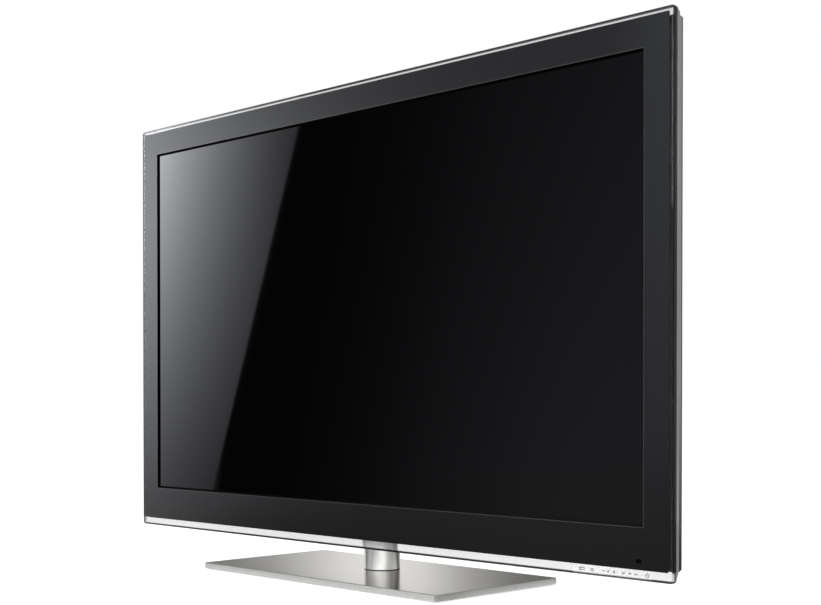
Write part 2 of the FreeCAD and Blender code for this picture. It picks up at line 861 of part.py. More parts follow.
def heat_sink(x, z, length):
    width = sink_fins * sink_fin + (sink_fins - 1) * sink_fin_gap
    corners = [(x - width / 2, board_back), (x + width / 2, board_back)]
    top = board_back + component_height
    floor = board_back + sink_base
    for number in range(sink_fins):
        right = x + width / 2 - number * (sink_fin + sink_fin_gap)
        corners += [(right, top), (right - sink_fin, top)]
        if number < sink_fins - 1:
            corners += [(right - sink_fin, floor), (right - sink_fin - sink_fin_gap, floor)]
    return top_profile(corners, z - length / 2, z + length / 2)


def make_heat_sinks():
    return Part.makeCompound([heat_sink(*on_board(name, x, z), length) for name, x, z, length in sink_places])


def film_profile(board_edge, panel_edge, way):
    outside = panel_edge + way * film_clearance
    outer = outside + way * film_thickness
    front = panel_joint - film_thickness
    back = board_back + film_thickness
    panel_end = panel_edge - way * film_overlap
    board_end = board_edge - way * film_overlap
    return [(panel_end, front), (outer, front), (outer, back), (board_end, back), (board_end, board_back),
            (outside, board_back), (outside, panel_joint), (panel_end, panel_joint)]


def make_address_films():
    corners = film_profile(boards["address_boards"][0].low, rear_panel_rect.low, -1)
    corners = [(depth, z) for z, depth in corners]
    return Part.makeCompound([side_profile(corners, x - film_width / 2, x + film_width / 2)
                              for x in address_film_places()])


# Sockets, jack panel and mains inlet

def socket_places():
    places = {}
    top = main_board_rect.high - socket_end_gap
    for name, count, pitch, width in jack_stack:
        places[name] = [top - width / 2 - pitch * number for number in range(count)]
        top -= group_height(count, pitch, width) + socket_group_gap
    return places


def socket_shell(z, width, height, tongue_width):
    left = panel_outer_x
    shell = block(left, left + socket_depth, board_back, board_back + height, z - width / 2, z + width / 2)
    mouth = block(left - 1, left + socket_depth - shell_wall, board_back + shell_wall,
                  board_back + height - shell_wall, z - width / 2 + shell_wall, z + width / 2 - shell_wall)
    centre = board_back + height / 2
    tongue = block(left + 2 * tongue_thickness, left + socket_depth - shell_wall, centre - tongue_thickness / 2,
                   centre + tongue_thickness / 2, z - tongue_width / 2, z + tongue_width / 2)
    return shell.cut(mouth).fuse(tongue)


def make_lan_socket():
    z = socket_places()["lan"][0]
    shell = block(panel_outer_x, panel_outer_x + socket_depth, board_back, board_back + lan_height,
                  z - lan_width / 2, z + lan_width / 2)
    mouth = block(panel_outer_x - 1, panel_outer_x + socket_depth - lan_wall, board_back + lan_wall,
                  board_back + lan_height - lan_wall, z - lan_width / 2 + lan_wall, z + lan_width / 2 - lan_wall)
    return shell.cut(mouth)


def make_usb_sockets():
    return Part.makeCompound([socket_shell(z, usb_width, usb_height, usb_width - 4 * shell_wall)
                              for z in socket_places()["usb"]])


def make_hdmi_sockets():
    return Part.makeCompound([socket_shell(z, hdmi_width, hdmi_height, hdmi_width - 4 * shell_wall)
                              for z in socket_places()["hdmi"]])


def make_phono_jacks():
    places = socket_places()["phono"]
    centre = board_back + phono_height / 2
    left = panel_outer_x + jack_panel_thickness
    body = block(left, left + socket_depth - jack_panel_thickness, board_back, board_back + phono_height,
                 min(places) - phono_pitch / 2, max(places) + phono_pitch / 2)
    sleeves = [side_prism(panel_outer_x, left, centre, z, phono_radius) for z in places]
    bores = [side_prism(panel_outer_x - 1, panel_outer_x + socket_depth / 2, centre, z, phono_bore)
             for z in places]
    return without(joined([body] + sleeves), bores)


def make_aerial_socket():
    z = socket_places()["aerial"][0]
    centre = board_back + phono_height / 2
    left = panel_outer_x + jack_panel_thickness
    body = block(left, left + socket_depth - jack_panel_thickness, board_back, board_back + phono_height,
                 z - phono_height / 2, z + phono_height / 2)
    barrel = side_prism(panel_outer_x - sheet - jack_panel_thickness, left, centre, z, aerial_radius)
    bore = side_prism(panel_outer_x - sheet - 2 * jack_panel_thickness, panel_outer_x + socket_depth / 2, centre,
                      z, aerial_bore)
    return joined([body, barrel]).cut(bore)


def jack_panel_joint():
    places = socket_places()
    return (places["usb"][-1] - usb_width / 2 + places["hdmi"][0] + hdmi_width / 2) / 2


def jack_panel_strip(low, high):
    places = socket_places()
    left = panel_outer_x
    right = left + jack_panel_thickness
    strip = block(left, right, board_front, cover_inside - fit_gap, low, high)
    holes = [block(left - 1, right + 1, board_back - fit_gap, board_back + height + fit_gap,
                   z - width / 2 - fit_gap, z + width / 2 + fit_gap)
             for name, width, height in (("lan", lan_width, lan_height), ("usb", usb_width, usb_height),
                                         ("hdmi", hdmi_width, hdmi_height)) for z in places[name] if low < z < high]
    centre = board_back + phono_height / 2
    holes += [side_prism(left - 1, right + 1, centre, z, phono_radius + fit_gap)
              for z in places["phono"] if low < z < high]
    holes += [side_prism(left - 1, right + 1, centre, z, aerial_radius + fit_gap)
              for z in places["aerial"] if low < z < high]
    return without(strip, holes)


def make_power_inlet():
    x, z = middle(inlet_rect)
    body = bevelled_plate(inlet_rect, chassis_back, power_pocket_floor, inlet_corner)
    flange = bevelled_plate(grown(inlet_rect, inlet_flange), power_pocket_floor,
                            power_pocket_floor + inlet_flange_thickness, inlet_flange)
    mouth_floor = power_pocket_floor + inlet_flange_thickness - inlet_cavity
    mouth = bevelled_plate(grown(inlet_rect, -inlet_wall), mouth_floor, cabinet_depth, inlet_corner)
    pins = [block(x + shift - pin_width / 2, x + shift + pin_width / 2, mouth_floor - 1, mouth_floor + pin_length,
                  z + rise - pin_height / 2, z + rise + pin_height / 2)
            for shift, rise in ((-pin_spread, -pin_rise), (0.0, pin_rise), (pin_spread, -pin_rise))]
    return joined([joined([body, flange]).cut(mouth)] + pins)


# Loudspeakers

slope_line = (shoulder_inside - band_end, shoulder_rect.low - band_inner.low)
slope_length = math.hypot(*slope_line)
slope_normal = (slope_line[1] / slope_length, -slope_line[0] / slope_length)


def sloped(depth, inset):
    start_depth = band_end - slope_normal[0] * inset
    start_z = band_inner.low - slope_normal[1] * inset
    return start_z + (depth - start_depth) * slope_line[1] / slope_line[0]


def make_speaker_boxes():
    high = chassis_rect.low - speaker_top_gap
    turn = band_end - slope_normal[0] * speaker_gap
    low = sloped(turn, speaker_gap)
    corners = [(speaker_front, high), (speaker_front, low), (turn, low),
               (speaker_back, sloped(speaker_back, speaker_gap)), (speaker_back, high)]
    return Part.makeCompound([side_profile(corners, side * speaker_offset - speaker_length / 2,
                                           side * speaker_offset + speaker_length / 2) for side in (-1, 1)])


def make_speaker_drivers():
    middle_depth = (band_end - slope_normal[0] * speaker_gap + speaker_back) / 2
    middle_z = sloped(middle_depth, speaker_gap)
    angle = math.degrees(math.atan2(slope_normal[1], slope_normal[0]))
    drivers = []
    for side in (-1, 1):
        for x in spread(2, driver_spread):
            place = side * speaker_offset + x
            rect = Rect(place - driver_length / 2, place + driver_length / 2, middle_z - driver_width / 2,
                        middle_z + driver_width / 2)
            driver = bevelled_plate(rect, middle_depth, middle_depth + driver_thickness, driver_width / 4)
            driver.rotate(point(place, middle_depth, middle_z), FreeCAD.Vector(1, 0, 0), angle)
            drivers.append(driver)
    return Part.makeCompound(drivers)


# Stand base

def flat_outline(inset, z, corner):
    half_x = base_width / 2 - inset
    half_y = base_depth / 2 - inset
    bulge = corner * (1 - math.sqrt(0.5))
    ends = []
    for sx, sy in [(1, -1), (1, 1), (-1, 1), (-1, -1)]:
        beside = FreeCAD.Vector(sx * (half_x - corner), sy * half_y, z)
        along = FreeCAD.Vector(sx * half_x, sy * (half_y - corner), z)
        through = FreeCAD.Vector(sx * (half_x - bulge), sy * (half_y - bulge), z)
        ends.append((beside, through, along) if sx * sy < 0 else (along, through, beside))
    edges = []
    for number, (start, through, stop) in enumerate(ends):
        edges.append(Part.Arc(start, through, stop).toShape())
        edges.append(Part.LineSegment(stop, ends[(number + 1) % 4][0]).toShape())
    return Part.Wire(edges)


def slab(inset, low, high, corner):
    return Part.Face(flat_outline(inset, low, corner)).extrude(FreeCAD.Vector(0, 0, high - low))


def bearing_angles():
    return [270.0 + 360.0 * number / bearing_screws for number in range(bearing_screws)]


def on_circle(radius, angle):
    turn = math.radians(angle)
    return radius * math.cos(turn), neck_axis_y + radius * math.sin(turn)


def make_base_plate():
    side = slab(0, foot_height, base_top - base_edge, base_corner)
    edge = Part.makeLoft([flat_outline(0, base_top - base_edge, base_corner),
                          flat_outline(base_edge, base_top, base_corner - base_edge)], True, True)
    hollow = slab(base_shell, foot_height - 1, base_ceiling, base_corner - base_shell)
    holes = [upright_prism(post_radius_upper + washer_play, base_ceiling - 1, base_top + 1, 0.0, neck_axis_y,
                           ring_sides)]
    holes += [upright_prism(bearing_screw_radius + fit_gap, base_ceiling - 1, base_top + 1,
                            *on_circle(bearing_screw_circle, angle)) for angle in bearing_angles()]
    return without(joined([side, edge]).cut(hollow), holes)


def make_base_tray():
    inset = base_shell + tray_gap
    corner = base_corner - inset
    half_x = base_width / 2 - inset
    half_y = base_depth / 2 - inset
    corners = [(corner - half_x, -half_y), (half_x - corner, -half_y), (half_x, corner - half_y),
               (half_x, half_y - corner), (half_x - corner, half_y), (corner - half_x, half_y),
               (-half_x, half_y - corner), (-half_x, corner - half_y)]
    floor = flat_face([FreeCAD.Vector(x, y, foot_height) for x, y in corners]).extrude(
        FreeCAD.Vector(0, 0, tray_thickness))
    rib_low = foot_height + tray_thickness - 1
    rib_high = base_ceiling - rib_gap
    reach_x = base_width / 2 - inset - corner
    reach_y = base_depth / 2 - inset - corner
    ribs = [Part.makeBox(rib_thickness, 2 * reach_y, rib_high - rib_low,
                         FreeCAD.Vector(x - rib_thickness / 2, -reach_y, rib_low))
            for x in spread(rib_columns, 2 * reach_x / rib_columns)]
    ribs += [Part.makeBox(2 * reach_x, rib_thickness, rib_high - rib_low,
                          FreeCAD.Vector(-reach_x, y - rib_thickness / 2, rib_low))
             for y in spread(rib_rows, 2 * reach_y / rib_rows)]
    well = upright_prism(post_flange_radius + 2 * rib_thickness, foot_height + tray_thickness, base_top, 0.0,
                         neck_axis_y)
    return joined([floor] + ribs).cut(well)


def make_base_feet():
    xs = spread(foot_columns, (base_width - 2 * foot_inset) / (foot_columns - 1))
    ys = spread(2, base_depth - 2 * foot_inset)
    return Part.makeCompound([Part.makeBox(foot_length, foot_width, foot_height,
                                           FreeCAD.Vector(x - foot_length / 2, y - foot_width / 2, 0))
                              for x in xs for y in ys])


# Swivel bearing

def make_swivel_post():
    shoulder = hub_top - post_running_gap
    post = joined([upright_prism(post_flange_radius, base_ceiling - post_flange_thickness, base_ceiling, 0.0,
                                 neck_axis_y, ring_sides),
                   column(post_radius_upper, base_ceiling - 1, shoulder),
                   upright_prism(thread_radius, shoulder - 1, nut_top + thread_tip, 0.0, neck_axis_y,
                                 ring_sides)])
    holes = [upright_prism(bearing_screw_radius + fit_gap, base_ceiling - post_flange_thickness - 1,
                           base_ceiling + 1, *on_circle(bearing_screw_circle, angle)) for angle in bearing_angles()]
    return without(post, holes)


def make_bearing_plate():
    top = base_top + bearing_thickness
    bearing = upright_prism(bearing_radius, base_top, top, 0.0, neck_axis_y, ring_sides)
    slot_radius = stop_pin_radius + stop_slot_gap
    swing = swivel_limit + math.degrees(stop_slot_gap / stop_pin_circle)
    sector = []
    for radius in (stop_pin_circle + slot_radius, stop_pin_circle - slot_radius):
        pie = Part.makeCylinder(radius, bearing_thickness + 2, FreeCAD.Vector(0, neck_axis_y, base_top - 1),
                                FreeCAD.Vector(0, 0, 1), 2 * swing)
        pie.rotate(FreeCAD.Vector(0, neck_axis_y, 0), FreeCAD.Vector(0, 0, 1), 90 - swing)
        sector.append(pie)
    slot = [sector[0].cut(sector[1])]
    slot += [column(slot_radius, base_top - 1, top + 1, *on_circle(stop_pin_circle, 90 + turn))
             for turn in (-swing, swing)]
    holes = [upright_prism(post_radius_upper + washer_play, base_top - 1, top + 1, 0.0, neck_axis_y, ring_sides)]
    for angle in bearing_angles():
        x, y = on_circle(bearing_screw_circle, angle)
        holes.append(upright_prism(bearing_screw_radius + fit_gap, base_top - 1, top + 1, x, y))
        holes.append(upright_prism(bearing_screw_head + fit_gap, top - bearing_screw_sink, top + 1, x, y))
    return without(bearing.cut(joined(slot)), holes)


def make_bearing_screws():
    low = base_ceiling - post_flange_thickness
    top = base_top + bearing_thickness
    screws = []
    for angle in bearing_angles():
        x, y = on_circle(bearing_screw_circle, angle)
        screws.append(joined([upright_prism(bearing_screw_radius, low, top - bearing_screw_sink, x, y),
                              upright_prism(bearing_screw_head, top - bearing_screw_sink, top, x, y)]))
    return Part.makeCompound(screws)


def washer(bore, low, high):
    disc = upright_prism(washer_radius, low, high, 0.0, neck_axis_y, washer_sides)
    return disc.cut(upright_prism(bore, low - 1, high + 1, 0.0, neck_axis_y, washer_sides))


def make_thrust_washer():
    low = base_top + bearing_thickness
    return washer(post_radius_upper + washer_play, low, low + washer_thickness)


def make_glide_ring():
    low = base_top + swivel_gap
    ring_hole = upright_prism(neck_radius - glide_ring_width, low - 1, tube_low + 1, 0.0, neck_axis_y, ring_sides)
    return column(neck_radius, low, tube_low).cut(ring_hole)


def make_neck_core():
    core_radius = tube_bore - fit_gap
    flange = column(core_radius, core_low, core_low + core_flange_thickness)
    hub = upright_prism(core_hub_radius, core_low, hub_top, 0.0, neck_axis_y, ring_sides)
    rib_low = core_low + core_flange_thickness - 1
    ribs = []
    for number in range(core_ribs):
        rib = Part.makeBox(core_radius, core_rib_thickness, core_rib_height + 1,
                           FreeCAD.Vector(0, neck_axis_y - core_rib_thickness / 2, rib_low))
        rib.rotate(FreeCAD.Vector(0, neck_axis_y, 0), FreeCAD.Vector(0, 0, 1), 45 + 360 * number / core_ribs)
        ribs.append(rib.common(column(core_radius, rib_low, hub_top)))
    pin = upright_prism(stop_pin_radius, base_top + stop_pin_lift, core_low + 1, *on_circle(stop_pin_circle, 90))
    core = joined([flange, hub] + ribs + [pin])
    return core.cut(column(post_radius_upper + post_running_gap, core_low - 1, hub_top + 1))


def make_spring_washers():
    low = hub_top + swivel_gap
    leaf = spring_thickness / 2
    return Part.makeCompound([washer(thread_radius + washer_play, low + number * leaf, low + (number + 1) * leaf)
                              for number in range(2)])


def make_swivel_nut():
    corner = nut_flats / math.sqrt(3)
    points = [FreeCAD.Vector(*on_circle(corner, 60 * number), nut_low) for number in range(7)]
    nut = Part.Face(Part.makePolygon(points)).extrude(FreeCAD.Vector(0, 0, nut_height))
    return nut.cut(upright_prism(thread_radius + washer_play, nut_low - 1, nut_top + 1, 0.0, neck_axis_y,
                                 washer_sides))


# Neck and its fixing to the set

def make_neck_tube():
    return pipe(neck_radius, tube_bore, tube_low, tube_high)


def make_neck_head():
    disc_top = tube_high + head_disc_thickness
    spigot_radius = tube_bore - fit_gap
    spigot = column(spigot_radius, tube_high - head_spigot, tube_high + 1).cut(
        upright_prism(spigot_radius - head_spigot_wall, tube_high - head_spigot - 1, tube_high, 0.0, neck_axis_y,
                      ring_sides))
    disc = column(neck_radius, tube_high, disc_top)
    bridge = block(-neck_radius, neck_radius, neck_pocket_floor, front_to_neck, tube_high, disc_top)
    half = head_plate_width / 2
    head_plate = bevelled_plate(Rect(-half, half, tube_high - head_plate_drop, tube_high + head_plate_rise),
                                neck_pocket_floor, head_plate_back, head_disc_thickness)
    ribs = [side_profile([(head_plate_back - 1, disc_top - 1), (head_plate_back + head_rib_reach, disc_top - 1),
                          (head_plate_back + head_rib_reach, disc_top + head_rib_thickness),
                          (head_plate_back - 1, disc_top + head_rib_rise)],
                         x - head_rib_thickness / 2, x + head_rib_thickness / 2)
            for x in spread(2, head_rib_spread)]
    holes = [prism(x, z, bracket_screw_radius + fit_gap, neck_pocket_floor - 1, head_plate_back + 1, screw_sides)
             for x, z in bracket_screw_places]
    holes.append(column(neck_radius + fit_gap, tube_high - head_spigot - 1, tube_high))
    return joined([without(joined([disc, bridge, head_plate] + ribs), holes), spigot])


def make_stand_bracket():
    back = neck_pocket_floor - sheet
    low = chassis_rect.low + film_notch_gap
    high = tube_high + head_plate_rise
    outer = block(-bracket_width / 2, bracket_width / 2, chassis_back, back, low, high)
    inner = block(-bracket_width / 2 + bracket_wall, bracket_width / 2 - bracket_wall, chassis_back - 1,
                  back - bracket_wall, low - 1, high + 1)
    holes = [prism(x, z, bracket_screw_radius + fit_gap, back - bracket_wall - 1, back + 1, screw_sides)
             for x, z in bracket_screw_places]
    return without(outer.cut(inner), holes)


def make_bracket_screws():
    length = head_plate_thickness + sheet + bracket_wall
    return Part.makeCompound([screw(x, z, head_plate_back, length, bracket_screw_radius, bracket_screw_head,
                                    bracket_screw_head_height) for x, z in bracket_screw_places])


def make_neck_hood():
    half = head_plate_width / 2 + hood_gap
    inner_foot = Rect(-half, half, tube_high - hood_drop + hood_wall, tube_high + head_plate_rise + hood_gap)
    tip_half = neck_radius + hood_gap
    inner_tip = Rect(-tip_half, tip_half, inner_foot.low,
                     tube_high + head_disc_thickness + head_rib_thickness + hood_tip_rise)
    tip_depth = front_to_neck + neck_radius + hood_gap
    outer = joined([
        bevelled_plate(grown(inner_foot, hood_wall), neck_pocket_floor, cabinet_depth, hood_corner),
        bevelled_taper(grown(inner_foot, hood_wall), cabinet_depth, grown(inner_tip, hood_wall),
                       tip_depth + hood_wall, hood_corner, hood_corner),
    ])
    inner = joined([
        bevelled_plate(inner_foot, neck_pocket_floor - 1, cabinet_depth, hood_corner),
        bevelled_taper(inner_foot, cabinet_depth, inner_tip, tip_depth, hood_corner, hood_corner),
    ])
    tube_hole = column(neck_radius + hood_gap / 2, inner_foot.low - hood_wall - 1, inner_foot.low + 1)
    mouth = block(-neck_radius - hood_gap / 2, neck_radius + hood_gap / 2, neck_pocket_floor - 1, front_to_neck,
                  inner_foot.low - hood_wall - 1, inner_foot.low + 1)
    return without(outer, [inner, tube_hole, mouth])


# Every piece by its name

def simple_plates():
    return {
        "screen_glass": plate(glass_rect, glass_front, glass_back),
        "panel_cushion": ring(front_panel_rect, grown(front_panel_rect, -cushion_width), frame_back, panel_front),
        "panel_front_glass": plate(front_panel_rect, panel_front, panel_joint),
        "panel_rear_glass": plate(rear_panel_rect, panel_joint, panel_back),
        "thermal_sheet": plate(grown(rear_panel_rect, -thermal_inset), panel_back, chassis_front),
    }


pieces = simple_plates()
pieces.update({name: make_board(name) for name in boards})
pieces.update({
    "clear_frame": make_clear_frame(),
    "bezel_frame": make_bezel_frame(),
    "receiver_window": receiver_oval(0, bevel_depth),
    "screen_gasket": make_screen_gasket(),
    "touch_film": make_touch_film(),
    "control_board": make_control_board(),
    "panel_frame": make_panel_frame(),
    "chassis_plate": make_chassis_plate(),
    "chassis_channels": make_channels(),
    "wall_mount_bushes": make_wall_mount_bushes(),
    "rear_cover": make_rear_cover(),
    "upper_vent_grilles": Part.makeCompound([vent_grille(rect) for rect in upper_vents()]),
    "lower_vent_grilles": Part.makeCompound([vent_grille(rect) for rect in lower_vents()]),
    "rear_cover_screws": Part.makeCompound([screw(x, z, cup_floor, cover_screw_length, screw_radius,
                                                  screw_head_radius, screw_head_height)
                                            for x, z in cover_screw_places]),
    "board_standoffs": make_standoffs(),
    "capacitors": make_capacitors(),
    "transformers": make_transformers(),
    "heat_sinks": make_heat_sinks(),
    "address_films": make_address_films(),
    "lan_socket": make_lan_socket(),
    "usb_sockets": make_usb_sockets(),
    "hdmi_sockets": make_hdmi_sockets(),
    "phono_jacks": make_phono_jacks(),
    "aerial_socket": make_aerial_socket(),
    "upper_jack_panel": jack_panel_strip(jack_panel_joint(), main_board_rect.high),
    "lower_jack_panel": jack_panel_strip(main_board_rect.low, jack_panel_joint() - panel_joint_gap),
    "power_inlet": make_power_inlet(),
    "speaker_boxes": make_speaker_boxes(),
    "speaker_drivers": make_speaker_drivers(),
    "base_plate": make_base_plate(),
    "base_tray": make_base_tray(),
    "base_feet": make_base_feet(),
    "swivel_post": make_swivel_post(),
    "bearing_plate": make_bearing_plate(),
    "bearing_screws": make_bearing_screws(),
    "thrust_washer": make_thrust_washer(),
    "glide_ring": make_glide_ring(),
    "neck_core": make_neck_core(),
    "spring_washers": make_spring_washers(),
    "swivel_nut": make_swivel_nut(),
    "neck_tube": make_neck_tube(),
    "neck_head": make_neck_head(),
    "stand_bracket": make_stand_bracket(),
    "bracket_screws": make_bracket_screws(),
    "neck_hood": make_neck_hood(),
})

os.makedirs("parts", exist_ok=True)
for name, shape in pieces.items():
    shape.exportStep("parts/" + name + ".step")
    print(name, len(shape.Solids), shape.isValid(), round(shape.Volume / 1000, 1), "cm3")
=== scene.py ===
import json
import math

import bpy
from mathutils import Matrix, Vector


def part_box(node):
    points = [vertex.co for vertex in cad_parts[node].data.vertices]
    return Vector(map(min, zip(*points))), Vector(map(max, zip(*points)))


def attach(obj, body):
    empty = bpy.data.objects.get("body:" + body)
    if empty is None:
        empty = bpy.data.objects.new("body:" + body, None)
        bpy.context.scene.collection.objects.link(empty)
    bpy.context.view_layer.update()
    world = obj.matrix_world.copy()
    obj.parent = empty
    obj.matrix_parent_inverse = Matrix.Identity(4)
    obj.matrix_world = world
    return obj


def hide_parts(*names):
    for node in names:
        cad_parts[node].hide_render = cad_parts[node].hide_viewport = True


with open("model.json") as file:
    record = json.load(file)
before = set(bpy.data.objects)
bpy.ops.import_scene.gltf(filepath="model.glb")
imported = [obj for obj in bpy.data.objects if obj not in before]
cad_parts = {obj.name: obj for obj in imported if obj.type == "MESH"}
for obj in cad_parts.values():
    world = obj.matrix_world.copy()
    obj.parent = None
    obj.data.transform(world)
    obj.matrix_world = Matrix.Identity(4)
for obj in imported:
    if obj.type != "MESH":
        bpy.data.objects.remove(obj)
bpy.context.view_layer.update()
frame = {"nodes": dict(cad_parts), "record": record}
nodes = frame["nodes"]
print("frame loaded:", len(nodes), "nodes")


# shader tools

class Link:
    # an output socket on which plain arithmetic adds Math nodes
    def __init__(self, paint, socket):
        self.paint = paint
        self.socket = socket

    def math(self, operation, first, second=0.0, clamp=False):
        return self.paint.add("ShaderNodeMath", {"operation": operation, "use_clamp": clamp},
                              {0: first, 1: second})

    def __add__(self, other):
        return self.math("ADD", self, other)

    def __radd__(self, other):
        return self.math("ADD", other, self)

    def __sub__(self, other):
        return self.math("SUBTRACT", self, other)

    def __rsub__(self, other):
        return self.math("SUBTRACT", other, self)

    def __mul__(self, other):
        return self.math("MULTIPLY", self, other)

    def __rmul__(self, other):
        return self.math("MULTIPLY", other, self)

    def __truediv__(self, other):
        return self.math("DIVIDE", self, other)

    def __rpow__(self, other):
        return self.math("POWER", other, self)

    def __gt__(self, other):
        return self.math("GREATER_THAN", self, other)

    def __lt__(self, other):
        return self.math("LESS_THAN", self, other)

    def __abs__(self):
        return self.math("ABSOLUTE", self)

    def least(self, other):
        return self.math("MINIMUM", self, other)

    def most(self, other):
        return self.math("MAXIMUM", self, other)

    def between(self, low, high):
        # 0 at low and 1 at high, kept inside 0 to 1
        return self.math("ADD", (self - low) / (high - low), 0.0, True)

    def swing(self, reach):
        # turns a noise from 0 to 1 into a change of half the reach either way
        return (self - 0.5) * reach


class Paint:
    # the node tree of a new material, or of a new world
    def __init__(self, name, family="materials"):
        self.owner = getattr(bpy.data, family).new(name)
        self.owner.use_nodes = True
        self.tree = self.owner.node_tree
        self.tree.nodes.clear()

    def add(self, kind, settings=None, values=None, out=0):
        node = self.tree.nodes.new(kind)
        for key, value in (settings or {}).items():
            if key == "stops":
                elements = node.color_ramp.elements
                while len(elements) < len(value):
                    # its place is set below
                    elements.new(0.5)
                for element, (place, level) in zip(elements, value):
                    element.position = place
                    element.color = grey(level)
            else:
                setattr(node, key, value)
        for key, value in (values or {}).items():
            if isinstance(value, Link):
                self.tree.links.new(value.socket, node.inputs[key])
            else:
                node.inputs[key].default_value = value
        return Link(self, node.outputs[out]) if len(node.outputs) else None

    def place(self, scale=(1, 1, 1), turn=(0, 0, 0)):
        # object coordinates, stretched and turned
        where = self.add("ShaderNodeTexCoord", out="Object")
        return self.add("ShaderNodeMapping", None, {"Vector": where, "Scale": scale, "Rotation": turn})

    def axis(self, letter):
        # the object coordinate along one axis
        where = self.add("ShaderNodeTexCoord", out="Object")
        return self.add("ShaderNodeSeparateXYZ", None, {0: where}, out=letter)

    def facing(self, letter):
        # how far the face looks along one axis
        normal = self.add("ShaderNodeNewGeometry", out="True Normal")
        return self.add("ShaderNodeSeparateXYZ", None, {0: normal}, out=letter)

    def ray(self, kind):
        # 1 for rays of one kind
        return self.add("ShaderNodeLightPath", out="Is " + kind + " Ray")

    def noise(self, scale, stretch=(1, 1, 1), detail=2.0, rough=0.5):
        # fine at a large scale, and drawn out along the axis that is stretched least
        where = self.place(stretch)
        return self.add("ShaderNodeTexNoise", None,
                        {"Vector": where, "Scale": scale, "Detail": detail, "Roughness": rough})

    def blend(self, amount, first, second):
        return self.add("ShaderNodeMix", {"data_type": "RGBA"}, {0: amount, 6: first, 7: second}, out=2)

    def ramp(self, amount, stops):
        # grey levels between stops of (place, level)
        return self.add("ShaderNodeValToRGB", {"stops": stops}, {0: amount})

    def bump(self, height, strength, distance):
        return self.add("ShaderNodeBump", None,
                        {"Height": height, "Strength": strength, "Distance": distance})

    def inside(self, low, high):
        # distance in from the edge of the upright rectangle between two corners
        fromSide = (high[0] - low[0]) / 2 - abs(self.axis("X") - (low[0] + high[0]) / 2)
        fromTop = (high[2] - low[2]) / 2 - abs(self.axis("Z") - (low[2] + high[2]) / 2)
        return fromSide.least(fromTop)

    def surface(self, values, part=None, partValues=None):
        # a second shader takes over where part is 1
        shader = self.add("ShaderNodeBsdfPrincipled", None, values)
        if part:
            second = self.add("ShaderNodeBsdfPrincipled", None, partValues)
            shader = self.add("ShaderNodeMixShader", None, {0: part, 1: shader, 2: second})
        self.add("ShaderNodeOutputMaterial", None, {"Surface": shader})
        return self.owner


def grey(level):
    return (level, level, level, 1)


# finishes

moulded = {"worn": {"scale": 6.0, "detail": 2.0}, "grainDetail": 3.0, "wornRough": 0.12, "grainRough": 0.06,
           "sideways": 0.9}


def mouldedFinish(name, spec):
    # plastic, rubber, foam or paint with a fine grain and faint wear
    paint = Paint(name)
    grain = paint.noise(spec["grain"], detail=moulded["grainDetail"])
    worn = paint.noise(**moulded["worn"])
    colour = paint.blend(worn, spec["dark"], spec["light"])
    if "sheenBand" in spec:
        # painted sheen: a paler strip along the side faces, from one depth to another, faded by painted
        # shade near the foot
        front, back = spec["sheenBand"]
        y = paint.axis("Y")
        strip = (y > front) * (y < back) * (abs(paint.facing("X")) > moulded["sideways"])
        colour = paint.blend(strip * paint.axis("Z").between(*spec["sheenBandFade"]), colour, spec["sheenBandTone"])
    return paint.surface({
        "Base Color": colour, "Metallic": spec.get("metal", 0.0), "IOR": spec.get("ior", 1.5),
        "Roughness": spec["rough"] + worn.swing(moulded["wornRough"]) + grain.swing(moulded["grainRough"]),
        "Normal": paint.bump(grain, spec["bump"], spec["depth"]),
    })


brushed = {"lines": {"scale": 1.0, "detail": 4.0, "rough": 0.7}, "broad": {"scale": 9.0, "detail": 2.0},
           "linesRough": 0.16, "broadRough": 0.06}


def brushedFinish(name, spec):
    # metal with lines drawn along one direction
    paint = Paint(name)
    lines = paint.noise(stretch=spec["stretch"], **brushed["lines"])
    broad = paint.noise(**brushed["broad"])
    rough = spec["rough"] + lines.swing(brushed["linesRough"]) + broad.swing(brushed["broadRough"])
    return paint.surface({
        "Base Color": paint.blend(lines, spec["dark"], spec["light"]), "Metallic": 1.0, "Roughness": rough,
        "Normal": paint.bump(lines, spec["bump"], spec["depth"]),
    })


